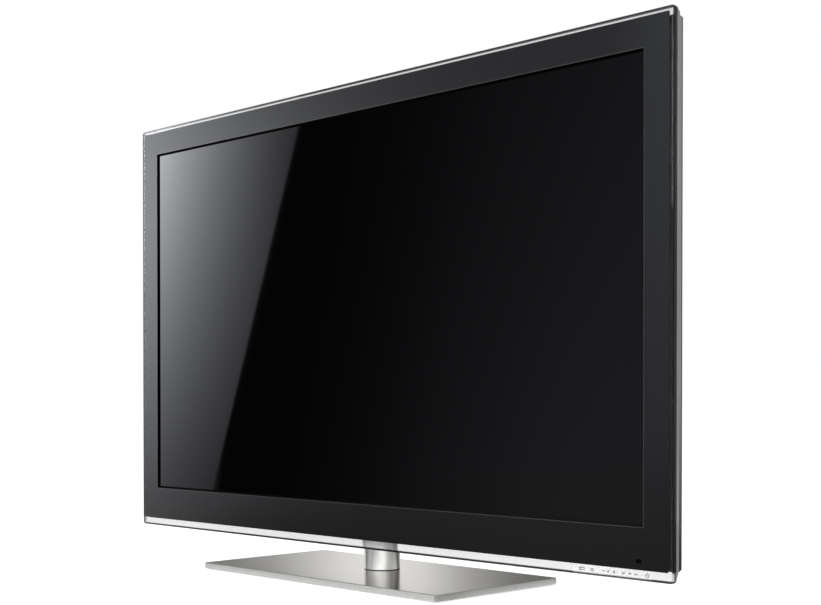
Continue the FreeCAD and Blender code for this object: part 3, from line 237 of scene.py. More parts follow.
def bezelFinish(name):
    # charcoal film with fine lines along the screen's width and a painted highlight line round the opening
    spec = {"lines": {"scale": 1.0, "stretch": (9, 60, 900), "detail": 3.0, "rough": 0.65},
            "bands": {"scale": 1.0, "stretch": (2.5, 8, 160), "detail": 2.0},
            "flecks": {"scale": 900.0, "stretch": (0.12, 1, 1), "detail": 1.0},
            "cool": (0.0071, 0.0078, 0.0096, 1), "pale": (0.0102, 0.0108, 0.0130, 1), "paleness": (0.3, 0.7),
            "linesShare": 0.7, "rough": 0.36, "linesRough": 0.10, "flecksRough": 0.04,
            "bump": 0.06, "depth": 0.0002, "ior": 1.52, "gasketReach": 0.0065,
            "highlightWide": 0.0008, "highlightTone": (0.050, 0.052, 0.054, 1),
            "bevel": (0.0006, 0.0006, 0.0007, 1), "bevelRough": 0.7, "bevelGrain": 0.1, "bevelIor": 1.08,
            "sillHighlight": (0.0080, 0.0080, 0.0084, 1), "sillHighlightRun": (-0.10, 0.35),
            "endPaintedLight": (0.50, 0.58), "endRise": (0.15, 0.60), "endSheenTone": (0.018, 0.0195, 0.021, 1),
            "foot": (0.07, 0.24), "footShade": 0.75}
    paint = Paint(name)
    lines = paint.noise(**spec["lines"])
    bands = paint.noise(**spec["bands"])
    flecks = paint.noise(**spec["flecks"])
    tone = lines * spec["linesShare"] + bands * (1 - spec["linesShare"])
    x = paint.axis("X")
    z = paint.axis("Z")
    low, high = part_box("screen_gasket")
    reach = Vector((spec["gasketReach"], 0, spec["gasketReach"]))
    outside = paint.inside(Vector(low) + reach, Vector(high) - reach) * -1.0
    # painted highlight: a thin pale line just outside the opening, standing in for light caught by a chamfer
    # the model lacks
    wide = spec["highlightWide"]
    cut = outside.between(0.0, wide / 4) * (1.0 - outside.between(wide, 2 * wide))
    # painted light: the right end is paler upwards, a painted sheen, and painted shade darkens the foot
    colour = paint.blend(tone.between(*spec["paleness"]), spec["cool"], spec["pale"])
    colour = paint.blend(x.between(*spec["endPaintedLight"]) * z.between(*spec["endRise"]), colour, spec["endSheenTone"])
    colour = paint.blend(spec["footShade"] * (1 - z.between(*spec["foot"])), colour, spec["bevel"])
    # the bevel round the opening is matt black, with a painted highlight along the right of its sill
    sillHighlight = (z < (low[2] + high[2]) / 2) * x.between(*spec["sillHighlightRun"])
    return paint.surface({
        "Base Color": paint.blend(cut, colour, spec["highlightTone"]), "IOR": spec["ior"],
        "Roughness": spec["rough"] + tone.swing(spec["linesRough"]) + flecks.swing(spec["flecksRough"]),
        "Normal": paint.bump(tone, spec["bump"], spec["depth"]),
    }, outside < 0.0, {
        "Base Color": paint.blend(sillHighlight, spec["bevel"], spec["sillHighlight"]), "IOR": spec["bevelIor"],
        "Roughness": spec["bevelRough"] + spec["bevelGrain"] * tone,
    })


def screenFinish(name):
    # black filter glass, polished, with the faintest haze of dust
    spec = {"cloud": {"scale": 3.0, "detail": 3.0}, "dust": {"scale": 1400.0, "detail": 1.0},
            "dark": (0.0002, 0.0002, 0.0004, 1), "light": (0.0005, 0.0005, 0.0009, 1), "ior": 1.52,
            "rough": 0.03, "cloudRough": 0.02, "dusty": (0.72, 0.8), "dustRough": 0.03}
    paint = Paint(name)
    dust = paint.noise(**spec["dust"])
    cloud = paint.noise(**spec["cloud"])
    return paint.surface({
        "Base Color": paint.blend(cloud, spec["dark"], spec["light"]), "IOR": spec["ior"],
        "Roughness": spec["rough"] + cloud.swing(spec["cloudRough"])
                     + spec["dustRough"] * dust.between(*spec["dusty"]),
    })


def acrylicFinish(name):
    # clear cast acrylic with polished faces; an opaque second shader covers it in part: painted shade where
    # the bend looks dark and over the left strip, a painted sheen on the sides, and a milky foot
    spec = {"cloud": {"scale": 40.0, "detail": 2.0}, "clear": (0.95, 0.955, 0.96, 1),
            "clean": (0.975, 0.98, 0.98, 1), "ior": 1.49, "rough": 0.01, "cloudRough": 0.02,
            "bump": 0.02, "depth": 0.0002,
            "top": 0.03, "topTone": (0.68, 0.685, 0.69, 1), "left": 0.006, "leftShadeTint": grey(0.46),
            "edge": 0.0031, "fade": 0.0005, "edgeShadeTone": (0.025, 0.027, 0.03, 1),
            "sideFrom": -0.0300, "sideTurn": (0.8, 0.95), "sideTone": (0.62, 0.625, 0.63, 1),
            "skin": 0.0008, "sideSheen": 0.30, "sideSheenTone": grey(0.78),
            "bendTurn": (0.2, 0.4), "shade": 0.85, "shadeTone": grey(0.004),
            "leftShade": 0.7, "leftShadeTone": grey(0.06), "coverRough": 0.4, "coverCloud": 0.1, "coverIor": 1.3,
            "foot": 0.0145, "front": -0.8, "milk": 0.13, "milkTone": grey(0.94), "footEndShadeTone": grey(0.45)}
    paint = Paint(name)
    cloud = paint.noise(**spec["cloud"])
    low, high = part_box("clear_frame")
    x = paint.axis("X")
    z = paint.axis("Z")
    depth = paint.inside(low, high)
    turned = abs(paint.facing("X"))
    sideways = turned.between(*spec["sideTurn"]) * (paint.axis("Y") > spec["sideFrom"])
    left = x < low[0] + spec["left"]
    foot = z < low[2] + spec["foot"]
    shadedFootEnd = foot * (z > low[2] + spec["edge"]) * (x > high[0] - spec["edge"])
    # the clear acrylic, greyer at the top; painted shade greys the left, the outer edge and the foot strip's
    # right end
    inner = paint.blend(z.between(high[2] - spec["top"], high[2] - spec["top"] / 2),
                        paint.blend(cloud, spec["clear"], spec["clean"]), spec["topTone"])
    inner = paint.blend(left, inner, spec["leftShadeTint"])
    colour = paint.blend(depth.between(spec["edge"] - spec["fade"], spec["edge"] + spec["fade"]),
                         paint.blend(sideways, spec["edgeShadeTone"], spec["sideTone"]), inner)
    colour = paint.blend(shadedFootEnd, colour, spec["footEndShadeTone"])
    # how much is covered: the sides' painted sheen, the painted shade of the bend before them and of the
    # left strip, the milky foot
    sideSheen = sideways * (depth < spec["skin"]) * spec["sideSheen"]
    bendShade = turned.between(*spec["bendTurn"]) * (depth < spec["edge"]) * (1 - sideways)
    shade = bendShade * (1 - foot) * spec["shade"]
    leftShade = left * (1 - foot) * (1 - sideways) * (1 - shade) * spec["leftShade"]
    milk = foot * (depth > spec["edge"]) * (paint.facing("Y") < spec["front"])
    cover = paint.blend(sideways, spec["shadeTone"], spec["sideSheenTone"])
    cover = paint.blend(milk, cover, spec["milkTone"])
    cover = paint.blend(leftShade, cover, spec["leftShadeTone"])
    return paint.surface({
        "Base Color": colour, "IOR": spec["ior"], "Transmission Weight": 1.0,
        "Roughness": spec["rough"] + spec["cloudRough"] * cloud,
        "Normal": paint.bump(cloud, spec["bump"], spec["depth"]),
    }, sideSheen + shade + leftShade + milk * spec["milk"], {
        "Base Color": cover, "IOR": spec["coverIor"],
        "Roughness": spec["coverRough"] + spec["coverCloud"] * cloud,
    })


def plateFinish(name):
    # stainless plate: bright brushed top, blunter sawn and rounded edges
    spec = {"lines": {"scale": 1.0, "stretch": (7, 1100, 1100), "detail": 4.0, "rough": 0.7},
            "broad": {"scale": 5.0, "detail": 2.0},
            "dark": (0.70, 0.677, 0.617, 1), "light": (0.84, 0.814, 0.747, 1), "top": (0.75, 0.95),
            "linesShare": 0.7, "rough": 0.17, "linesRough": 0.06, "broadRough": 0.04, "bump": 0.04,
            "depth": 0.0001, "edgeRough": 0.42, "edgeMetal": 0.4,
            # the edge colours below are painted light and shade: darker low down, round the corners, along
            # the rim and at the ends' front
            "edge": (0.85, 0.845, 0.83, 1), "edgeLowShade": (0.64, 0.635, 0.62, 1), "edgeRise": (0.002, 0.011),
            "bendShade": (0.42, 0.415, 0.40, 1), "bendTurn": (0.08, 0.25), "endTurn": (0.93, 0.99),
            "near": (0.40, 0.395, 0.38, 1), "far": (0.66, 0.655, 0.64, 1), "run": (-0.10, 0.06),
            "rim": (0.30, 0.295, 0.285, 1), "rimTurn": (0.15, 0.25)}
    paint = Paint(name)
    lines = paint.noise(**spec["lines"])
    broad = paint.noise(**spec["broad"])
    upward = paint.facing("Z")
    top = upward.between(*spec["top"])
    tone = lines * spec["linesShare"] + broad * (1 - spec["linesShare"])
    colour = paint.blend(tone, spec["dark"], spec["light"])
    rough = spec["edgeRough"] + top * (spec["rough"] - spec["edgeRough"])
    # edges, all painted light and shade: paler upwards, darker round the corners and along the rim, and at
    # each end darker towards the front
    sideways = abs(paint.facing("X"))
    endPaintedLight = paint.blend(paint.axis("Y").between(*spec["run"]), spec["near"], spec["far"])
    edge = paint.blend(paint.axis("Z").between(*spec["edgeRise"]), spec["edgeLowShade"], spec["edge"])
    edge = paint.blend(sideways.between(*spec["bendTurn"]), edge, spec["bendShade"])
    edge = paint.blend(sideways.between(*spec["endTurn"]), edge, endPaintedLight)
    edge = paint.blend(upward.between(*spec["rimTurn"]), edge, spec["rim"])
    return paint.surface({
        "Base Color": paint.blend(top, edge, colour),
        "Metallic": spec["edgeMetal"] + top * (1 - spec["edgeMetal"]),
        "Roughness": rough + lines.swing(spec["linesRough"]) + broad.swing(spec["broadRough"]),
        "Normal": paint.bump(lines, spec["bump"], spec["depth"]),
    })


def tubeFinish(name):
    # turned steel tube, whose fine rings spread what it mirrors up and down
    spec = {"rings": {"scale": 1.0, "stretch": (14, 14, 2600), "detail": 3.0, "rough": 0.6},
            "haze": {"scale": 25.0, "detail": 2.0},
            "dark": grey(0.78), "light": grey(0.90), "ringsShare": 0.6, "rough": 0.33, "ringsRough": 0.05,
            "hazeRough": 0.04, "bump": 0.02, "depth": 0.00005, "drawn": 0.92, "turn": 0.25}
    paint = Paint(name)
    rings = paint.noise(**spec["rings"])
    haze = paint.noise(**spec["haze"])
    tone = rings * spec["ringsShare"] + haze * (1 - spec["ringsShare"])
    return paint.surface({
        "Base Color": paint.blend(tone, spec["dark"], spec["light"]), "Metallic": 1.0,
        "Roughness": spec["rough"] + rings.swing(spec["ringsRough"]) + haze.swing(spec["hazeRough"]),
        "Anisotropic": spec["drawn"], "Anisotropic Rotation": spec["turn"],
        "Normal": paint.bump(rings, spec["bump"], spec["depth"]),
    })


def boardFinish(name):
    # green solder mask with tracks and pads
    spec = {"speckle": {"scale": 500.0, "detail": 2.0}, "cloud": {"scale": 60.0, "detail": 2.0},
            "dark": (0.010, 0.075, 0.035, 1), "light": (0.016, 0.12, 0.055, 1),
            "track": (0.05, 0.26, 0.12, 1), "trackScale": 140.0, "trackWide": 0.06, "trackShift": 0.35,
            "worn": (0.45, 0.55), "rough": 0.42, "speckleRough": 0.1, "bump": 0.2, "depth": 0.0001}
    paint = Paint(name)
    flat = paint.place(turn=(math.radians(90), 0, 0))
    tracks = paint.add("ShaderNodeTexBrick", {"offset": spec["trackShift"]},
                       {"Vector": flat, "Scale": spec["trackScale"], "Mortar Size": spec["trackWide"]},
                       out="Fac")
    speckle = paint.noise(**spec["speckle"])
    base = paint.blend(paint.noise(**spec["cloud"]), spec["dark"], spec["light"])
    return paint.surface({
        "Base Color": paint.blend(tracks * speckle.between(*spec["worn"]), base, spec["track"]),
        "Roughness": spec["rough"] + speckle.swing(spec["speckleRough"]),
        "Normal": paint.bump(tracks, spec["bump"], spec["depth"]),
    })


ribbed = {"ribs": {"scale": 1.0, "stretch": (1600, 40, 40), "detail": 1.0},
          "rough": 0.22, "ribsRough": 0.1, "bump": 0.1, "depth": 0.0001}


def filmFinish(name, spec):
    # thin clear or tinted film
    paint = Paint(name)
    ribs = paint.noise(**ribbed["ribs"])
    return paint.surface({
        "Base Color": paint.blend(ribs, spec["dark"], spec["light"]), "Alpha": spec["alpha"],
        "Roughness": ribbed["rough"] + ribs.swing(ribbed["ribsRough"]),
        "Normal": paint.bump(ribs, ribbed["bump"], ribbed["depth"]),
    })


mouldings = {
    "dark_window": {"grain": 700.0, "dark": (0.0008, 0.0005, 0.0008, 1), "light": (0.002, 0.001, 0.002, 1),
                    "rough": 0.12, "bump": 0.02, "depth": 0.0001, "ior": 1.2},
    "black_foam": {"grain": 1500.0, "dark": grey(0.010), "light": grey(0.022), "rough": 0.85, "bump": 0.5,
                   "depth": 0.0004},
    "panel_glass": {"grain": 300.0, "dark": (0.10, 0.11, 0.12, 1), "light": (0.16, 0.17, 0.18, 1),
                    "rough": 0.15, "bump": 0.01, "depth": 0.0001},
    "grey_sheet": {"grain": 900.0, "dark": grey(0.10), "light": grey(0.16), "rough": 0.7, "bump": 0.3,
                   "depth": 0.0003},
    # the rear cover's paler side band is a painted sheen, faded near the foot by painted shade
    "rear_cover": {"grain": 1300.0, "dark": grey(0.011), "light": grey(0.018), "rough": 0.50, "bump": 0.28,
                   "depth": 0.00025, "sheenBand": (-0.030, -0.0185), "sheenBandTone": grey(0.20),
                   "sheenBandFade": (0.08, 0.30)},
    "rear_plastic": {"grain": 1300.0, "dark": grey(0.012), "light": grey(0.019), "rough": 0.46,
                     "bump": 0.25, "depth": 0.00025},
    "black_screw": {"grain": 1800.0, "dark": grey(0.010), "light": grey(0.025), "rough": 0.38, "bump": 0.15,
                    "depth": 0.0001, "metal": 0.8},
    "black_parts": {"grain": 1100.0, "dark": grey(0.010), "light": grey(0.020), "rough": 0.48, "bump": 0.2,
                    "depth": 0.0002},
    "jack_panel": {"grain": 1500.0, "dark": grey(0.014), "light": grey(0.024), "rough": 0.42, "bump": 0.15,
                   "depth": 0.0001},
    "black_rubber": {"grain": 900.0, "dark": grey(0.012), "light": grey(0.022), "rough": 0.75, "bump": 0.3,
                     "depth": 0.0003},
    "white_washer": {"grain": 500.0, "dark": grey(0.55), "light": grey(0.68), "rough": 0.35, "bump": 0.1,
                     "depth": 0.0001},
    "cast_core": {"grain": 420.0, "dark": grey(0.32), "light": grey(0.42), "rough": 0.5, "bump": 0.35,
                  "depth": 0.0004, "metal": 1.0},
}
brushings = {
    "zinc_steel": {"stretch": (60, 900, 900), "dark": (0.42, 0.43, 0.45, 1), "light": (0.60, 0.61, 0.63, 1),
                   "rough": 0.34, "bump": 0.10, "depth": 0.0001},
    "chassis_metal": {"stretch": (30, 700, 700), "dark": grey(0.52), "light": grey(0.66), "rough": 0.38,
                      "bump": 0.10, "depth": 0.0001},
}
films = {
    "touch_film": {"dark": grey(0.75), "light": grey(0.85), "alpha": 0.04},
    "amber_film": {"dark": (0.30, 0.12, 0.015, 1), "light": (0.46, 0.21, 0.03, 1), "alpha": 1.0},
}

ownFinishes = {"charcoal_bezel": bezelFinish, "screen_glass": screenFinish, "clear_acrylic": acrylicFinish,
               "base_steel": plateFinish, "polished_tube": tubeFinish, "green_board": boardFinish}

finishes = {name: mouldedFinish(name, spec) for name, spec in mouldings.items()}
finishes.update({name: brushedFinish(name, spec) for name, spec in brushings.items()})
finishes.update({name: filmFinish(name, spec) for name, spec in films.items()})
finishes.update({name: finish(name) for name, finish in ownFinishes.items()})


def dress(piece, finish):
    piece.data.materials.clear()
    piece.data.materials.append(finish)


slotOf = {entry["node"]: entry["material_slot"] for entry in frame["record"]["subparts"]}
for name, node in nodes.items():
    dress(node, finishes[slotOf[name]])
print("finishes on all nodes:", len(finishes))


# modelling tools

# a face whose normal reaches this far along an axis looks along it
nearlyStraight = 0.9


def deselect():
    bpy.ops.object.select_all(action="DESELECT")


def alone(piece):
    deselect()
    piece.select_set(True)
    bpy.context.view_layer.objects.active = piece


def named(piece, name):
    piece.name = name
    piece.data.name = name
    return piece


def settle():
    # writes the active piece's place, turn and size into its mesh
    bpy.ops.object.transform_apply(location=True, rotation=True, scale=True)


def block(middle, size, turn=(0, 0, 0)):
    deselect()
    bpy.ops.mesh.primitive_cube_add(size=1, location=middle, rotation=turn, scale=size)
    return bpy.context.object


def rod(middle, radius, length, sides, turn=(0, 0, 0)):
    deselect()
    bpy.ops.mesh.primitive_cylinder_add(vertices=sides, radius=radius, depth=length, location=middle,
                                        rotation=turn)
    return bpy.context.object


def pick(piece, kind, test):
    # selects the vertices, edges or faces that pass a test, and leaves edit mode on
    bpy.ops.object.mode_set(mode="EDIT")
    bpy.ops.mesh.select_mode(type=kind)
    bpy.ops.mesh.select_all(action="DESELECT")
    bpy.ops.object.mode_set(mode="OBJECT")
    data = piece.data
    for element in {"VERT": data.vertices, "EDGE": data.edges, "FACE": data.polygons}[kind]:
        element.select = test(element)
    bpy.ops.object.mode_set(mode="EDIT")


def editDone():
    bpy.ops.object.mode_set(mode="OBJECT")


def cutOut(piece, cutter):
    # takes the cutter's shape out of the piece and deletes the cutter
    alone(piece)
    modifier = piece.modifiers.new("cut", "BOOLEAN")
    modifier.object = cutter
    modifier.operation = "DIFFERENCE"
    bpy.ops.object.modifier_apply(modifier="cut")
    alone(cutter)
    bpy.ops.object.delete()


def smooth(piece, degrees):
    alone(piece)
    bpy.ops.object.shade_smooth_by_angle(angle=math.radians(degrees))


def joined(pieces, name):
    deselect()
    for piece in pieces:
        piece.select_set(True)
    bpy.context.view_layer.objects.active = pieces[0]
    bpy.ops.object.join()
    return named(pieces[0], name)


def copiesAt(first, places):
    # the first piece and its copies, each with its own mesh, moved to their places
    pieces = [first]
    for place in places[1:]:
        alone(first)
        bpy.ops.object.duplicate()
        pieces.append(bpy.context.object)
    for piece, (x, z) in zip(pieces, places):
        piece.location = (x, 0, z)
        alone(piece)
        settle()
    return pieces


# control marks printed behind the clear strip

# foot and head are (y, z) on the strip, in metres; each mark is its x and its bars, and a bar is
# (x, height, length, turn) about the mark's middle, in millimetres and degrees
touch = {
    "foot": (-0.0287, 0.049), "head": (-0.0242, 0.063), "behind": 0.0002, "wide": 0.0012, "thick": 0.0002,
    "round": 0.00006, "roundSteps": 2,
    "marks": [
        (451.0, [(0, 1.5, 9, 0), (0, -1.5, 9, 0), (4.2, 0, 4, 90), (-4.2, 0, 4, 90), (-1.2, 0, 2.8, 90)]),
        (468.8, [(0, 1.2, 6.5, 0), (0, -1.2, 6.5, 0), (0, 0, 3, 90)]),
        (487.8, [(0, 0, 4.6, 0), (1.4, 0.5, 1.8, 40)]),
        (496.0, [(-1.2, 0, 3, 0), (0.6, 0.8, 2.6, 40), (0.6, -0.8, 2.6, -40)]),
        (505.6, [(0, 0, 5, 0), (0, 0, 5, 90)]),
        (521.0, [(-1.3, 0, 3.8, -42), (1.3, 0, 3.8, 42)]),
        (531.5, [(0, 0, 5, 0), (0, 0.7, 3, 0)]),
        (541.5, [(-1.3, 0, 3.8, 42), (1.3, 0, 3.8, -42)]),
        (559.4, [(0, 1.7, 3.6, 90)]),
    ],
    "ring": {"x": 559.4, "radius": 2.4, "gap": 40.0, "steps": 40, "sides": 8},
    "print": {"grain": 2500.0, "dark": grey(0.006), "light": grey(0.012), "rough": 0.6, "bump": 0.1,
              "depth": 0.00003},
}


def metres(millimetres):
    return millimetres / 1000


def markBar(x, height, length, turn):
    bar = block((metres(x), 0, metres(height)), (metres(length), touch["thick"], touch["wide"]),
                (0, -math.radians(turn), 0))
    settle()
    bpy.ops.object.mode_set(mode="EDIT")
    bpy.ops.mesh.bevel(offset=touch["round"], segments=touch["roundSteps"], affect="EDGES")
    editDone()
    return bar


def markRing(spec):
    # a flat ring, open at its top
    deselect()
    bpy.ops.mesh.primitive_torus_add(major_segments=spec["steps"], minor_segments=spec["sides"],
                                     major_radius=metres(spec["radius"]), minor_radius=touch["wide"] / 2,
                                     rotation=(math.pi / 2, 0, 0))
    ring = bpy.context.object
    settle()
    pick(ring, "VERT", lambda corner: math.degrees(math.atan2(abs(corner.co.x), corner.co.z)) < spec["gap"])
    bpy.ops.mesh.delete(type="VERT")
    bpy.ops.mesh.select_all(action="SELECT")
    bpy.ops.mesh.fill_holes(sides=0)
    bpy.ops.mesh.select_all(action="SELECT")
    bpy.ops.transform.resize(value=(1, touch["thick"] / touch["wide"], 1))
    bpy.ops.transform.translate(value=(metres(spec["x"]), 0, 0))
    editDone()
    return ring


bars = [markBar(x + bar[0], *bar[1:]) for x, mark in touch["marks"] for bar in mark]
touchMarks = joined(bars + [markRing(touch["ring"])], "touch_marks")
alone(touchMarks)
slope = [touch["head"][number] - touch["foot"][number] for number in (0, 1)]
middle = [(touch["head"][number] + touch["foot"][number]) / 2 for number in (0, 1)]
touchMarks.rotation_euler = (-math.atan2(*slope), 0, 0)
touchMarks.location = (0, middle[0] + touch["behind"], middle[1])
settle()
dress(touchMarks, mouldedFinish("touch_print", touch["print"]))
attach(touchMarks, "set")
print("touch marks:", len(bars) + 1, "strokes")


# screws that hold the rear cover, with rounded heads and a cross recess

# the cross is two slots of (length, depth, width)
coverScrew = {"head": 0.0036, "tall": 0.0020, "shank": 0.0015, "sides": 32, "round": 0.0010,
              "roundSteps": 4, "slot": (0.0038, 0.0026, 0.0008), "apart": 0.012, "smooth": 35}


def loosePlaces(node, apart):
    # the middle of each loose part of a node, by its x and z
    groups = []
    for corner in node.data.vertices:
        for group in groups:
            if abs(group[0].x - corner.co.x) < apart and abs(group[0].z - corner.co.z) < apart:
                group.append(corner.co)
                break
        else:
            groups.append([corner.co])
    return [((min(point.x for point in group) + max(point.x for point in group)) / 2,
             (min(point.z for point in group) + max(point.z for point in group)) / 2) for group in groups]


def makeScrew(spec, shankEnd, headEnd):
    seat = headEnd - spec["tall"]
    middle = (0, (seat + headEnd) / 2, 0)
    screw = rod(middle, spec["head"], spec["tall"], spec["sides"], (-math.pi / 2, 0, 0))
    settle()
    pick(screw, "FACE", lambda face: face.normal.y > nearlyStraight)
    bpy.ops.mesh.bevel(offset=spec["round"], segments=spec["roundSteps"], affect="EDGES")
    editDone()
    pick(screw, "FACE", lambda face: face.normal.y < -nearlyStraight)
    bpy.ops.mesh.inset(thickness=spec["head"] - spec["shank"])
    bpy.ops.mesh.extrude_region_move(TRANSFORM_OT_translate={"value": (0, shankEnd - seat, 0)})
    editDone()
    for turn in (0, 90):
        cutOut(screw, block((0, headEnd, 0), spec["slot"], (0, math.radians(turn), 0)))
    smooth(screw, spec["smooth"])
    return screw


screwLow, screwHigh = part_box("rear_cover_screws")
screwPlaces = loosePlaces(nodes["rear_cover_screws"], coverScrew["apart"])
oneScrew = makeScrew(coverScrew, screwLow[1], screwHigh[1])
coverScrews = joined(copiesAt(oneScrew, screwPlaces), "cover_screws")
dress(coverScrews, finishes["black_screw"])
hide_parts("rear_cover_screws")
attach(coverScrews, "set")
print("rear cover screws:", len(screwPlaces))


# steel plate of the stand: tight corners, softened rim, hollow underside and holes for the bearing

# the post's hole and the circle of screw holes lie about the neck's axis, behind the plate's middle
standPlate = {"corner": 0.0044, "cornerSteps": 8, "rim": 0.0008, "rimSteps": 3, "shell": 0.0025,
              "axisY": 0.0206, "post": 0.0103, "screws": 3, "screwFirst": 270, "screwCircle": 0.019,
              "screwHole": 0.0021, "drill": 0.02, "drillSides": 32, "smooth": 12}


def plateHoles(spec):
    # (x, y, radius) of the post's hole and the screw holes round it
    holes = [(0, spec["axisY"], spec["post"])]
    for number in range(spec["screws"]):
        turn = math.radians(spec["screwFirst"] + 360 * number / spec["screws"])
        x = spec["screwCircle"] * math.cos(turn)
        y = spec["axisY"] + spec["screwCircle"] * math.sin(turn)
        holes.append((x, y, spec["screwHole"]))
    return holes


def makePlate(spec, low, high):
    size = [high[axis] - low[axis] for axis in range(3)]
    steel = block([(low[axis] + high[axis]) / 2 for axis in range(3)], size)
    settle()

    def standing(edge):
        first, last = [steel.data.vertices[number].co for number in edge.vertices]
        return abs(first.z - last.z) > size[2] / 2

    pick(steel, "EDGE", standing)
    bpy.ops.mesh.bevel(offset=spec["corner"], segments=spec["cornerSteps"], affect="EDGES")
    editDone()
    pick(steel, "FACE", lambda face: face.normal.z > nearlyStraight)
    bpy.ops.mesh.bevel(offset=spec["rim"], segments=spec["rimSteps"], affect="EDGES")
    editDone()
    pick(steel, "FACE", lambda face: face.normal.z < -nearlyStraight)
    bpy.ops.mesh.inset(thickness=spec["shell"])
    bpy.ops.mesh.extrude_region_move(TRANSFORM_OT_translate={"value": (0, 0, size[2] - spec["shell"])})
    editDone()
    for x, y, radius in plateHoles(spec):
        cutOut(steel, rod((x, y, high[2]), radius, spec["drill"], spec["drillSides"]))
    smooth(steel, spec["smooth"])
    return named(steel, "steel_plate")


steelPlate = makePlate(standPlate, *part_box("base_plate"))
dress(steelPlate, finishes["base_steel"])
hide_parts("base_plate")
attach(steelPlate, "stand")
print("stand plate modelled")


# camera, world, floor and lamps

view = {"place": (1.61555, -1.51866, 0.29114), "pitch": -0.0118, "yaw": 0.7888, "lens": 59.93,
        "sensor": 36.0, "lift": 0.135, "near": 0.01, "far": 100.0}
studio = {"fill": 0.55, "shown": 1.0, "mirrored": 0.9}
ground = {"size": 60, "cloud": {"scale": 30.0, "detail": 2.0}, "dark": 0.80, "light": 0.84, "rough": 0.8,
          "ior": 1.3, "glow": 0.60}
lamps = {
    "overhead": {"place": (0.3, -0.6, 3.2), "aim": (0, 0, 0.3), "size": 3.0, "power": 60},
    "frontFill": {"place": (2.6, -2.8, 1.8), "aim": (0, 0, 0.4), "size": 1.6, "power": 26},
}

scene = bpy.context.scene
cameraData = bpy.data.cameras.new("camera")
cameraData.lens = view["lens"]
cameraData.sensor_width = view["sensor"]
cameraData.shift_y = view["lift"]
cameraData.clip_start = view["near"]
cameraData.clip_end = view["far"]
camera = bpy.data.objects.new("camera", cameraData)
camera.location = view["place"]
camera.rotation_euler = (math.pi / 2 + view["pitch"], 0, view["yaw"])
scene.collection.objects.link(camera)
scene.camera = camera
scene.view_settings.view_transform = "Standard"


def makeWorld(spec):
    # even light from all round, white where it is seen and a little dimmer where it is mirrored
    sky = Paint("studio", "worlds")

    def even(strength):
        return sky.add("ShaderNodeBackground", None, {"Color": grey(1.0), "Strength": strength})

    unseen = sky.add("ShaderNodeMixShader", None,
                     {0: sky.ray("Glossy"), 1: even(spec["fill"]), 2: even(spec["mirrored"])})
    straight = sky.ray("Camera").most(sky.ray("Transmission"))
    mixed = sky.add("ShaderNodeMixShader", None, {0: straight, 1: unseen, 2: even(spec["shown"])})
    sky.add("ShaderNodeOutputWorld", None, {"Surface": mixed})
    return sky.owner


def floorFinish(spec):
    # pale floor that keeps the object's shadow and is white where none falls
    paint = Paint("studio_floor")
    seen = paint.ray("Camera").most(paint.ray("Glossy")).most(paint.ray("Transmission"))
    return paint.surface({
        "Base Color": paint.blend(paint.noise(**spec["cloud"]), grey(spec["dark"]), grey(spec["light"])),
        "Roughness": spec["rough"], "IOR": spec["ior"],
        "Emission Color": grey(1.0), "Emission Strength": seen * spec["glow"],
    })


def lamp(name, spec):
    data = bpy.data.lights.new(name, "AREA")
    data.size = spec["size"]
    data.energy = spec["power"]
    light = bpy.data.objects.new(name, data)
    light.location = spec["place"]
    away = Vector(spec["aim"]) - Vector(spec["place"])
    light.rotation_euler = away.to_track_quat("-Z", "Y").to_euler()
    light.visible_glossy = False
    scene.collection.objects.link(light)


scene.world = makeWorld(studio)
deselect()
bpy.ops.mesh.primitive_plane_add(size=ground["size"], location=(0, 0, 0))
floor = named(bpy.context.object, "floor")
dress(floor, floorFinish(ground))
for name, spec in lamps.items():
    lamp(name, spec)
print("camera, world, floor and lamps placed")


# reflection cards

def lightLink(name, parts, state):
    # what a card shines on: these parts alone, or all but these
    link = bpy.data.collections.new(name)
    for part in parts:
        link.objects.link(part)
    for entry in link.collection_objects:
        entry.light_linking.link_state = state
    return link


neckAlone = lightLink("neckAlone", [nodes["neck_tube"]], "INCLUDE")
neckAside = lightLink("neckAside", [nodes["neck_tube"]], "EXCLUDE")
standAside = lightLink("standAside", [nodes["neck_tube"], steelPlate], "EXCLUDE")
floor.light_linking.receiver_collection = neckAside


def card(name, corners, brightness, link, faces=None, clear=False, tint=(1, 1, 1, 1)):
    # flat faces that only mirror-like surfaces see, as strong as brightness makes them from x, y and z
    # a clear card lets every ray through
    data = bpy.data.meshes.new(name)
    data.from_pydata(corners, [], faces or [tuple(range(len(corners)))])
    cardObject = bpy.data.objects.new(name, data)
    scene.collection.objects.link(cardObject)
    paint = Paint(name)
    glow = paint.add("ShaderNodeEmission", None, {"Color": tint, "Strength": brightness(paint)})
    if clear:
        glow = paint.add("ShaderNodeAddShader", None, {0: glow, 1: paint.add("ShaderNodeBsdfTransparent")})
    paint.add("ShaderNodeOutputMaterial", None, {"Surface": glow})
    dress(cardObject, paint.owner)
    for setting in ("camera", "diffuse", "shadow", "transmission", "volume_scatter"):
        setattr(cardObject, "visible_" + setting, False)
    cardObject.light_linking.receiver_collection = link


def onWall(outline):
    # corners of a card that stands on the left wall, from (y, z)
    return [(wall["x"], y, z) for y, z in outline]


def acrossRoom(y, left, right, high):
    # corners of a card that stands across the room
    return [(left, y, 0), (right, y, 0), (right, y, high), (left, y, high)]


def lyingFlat(z, left, right, front, back):
    # corners of a card that lies flat
    return [(left, front, z), (right, front, z), (right, back, z), (left, back, z)]


# the left wall is bright up to a slanted line, and past it the room is dark
wall = {"x": -1.6, "lineLow": -0.925, "lineHigh": -1.267, "high": 1.15, "leftLow": -0.03, "leftHigh": -0.52,
        "cap": 0.47, "tone": -1.16, "rise": 1.89, "bow": -1.51, "climb": 4.38, "lean": 2.15, "ease": -1.95,
        "tint": (0.965, 0.985, 1.04, 1)}
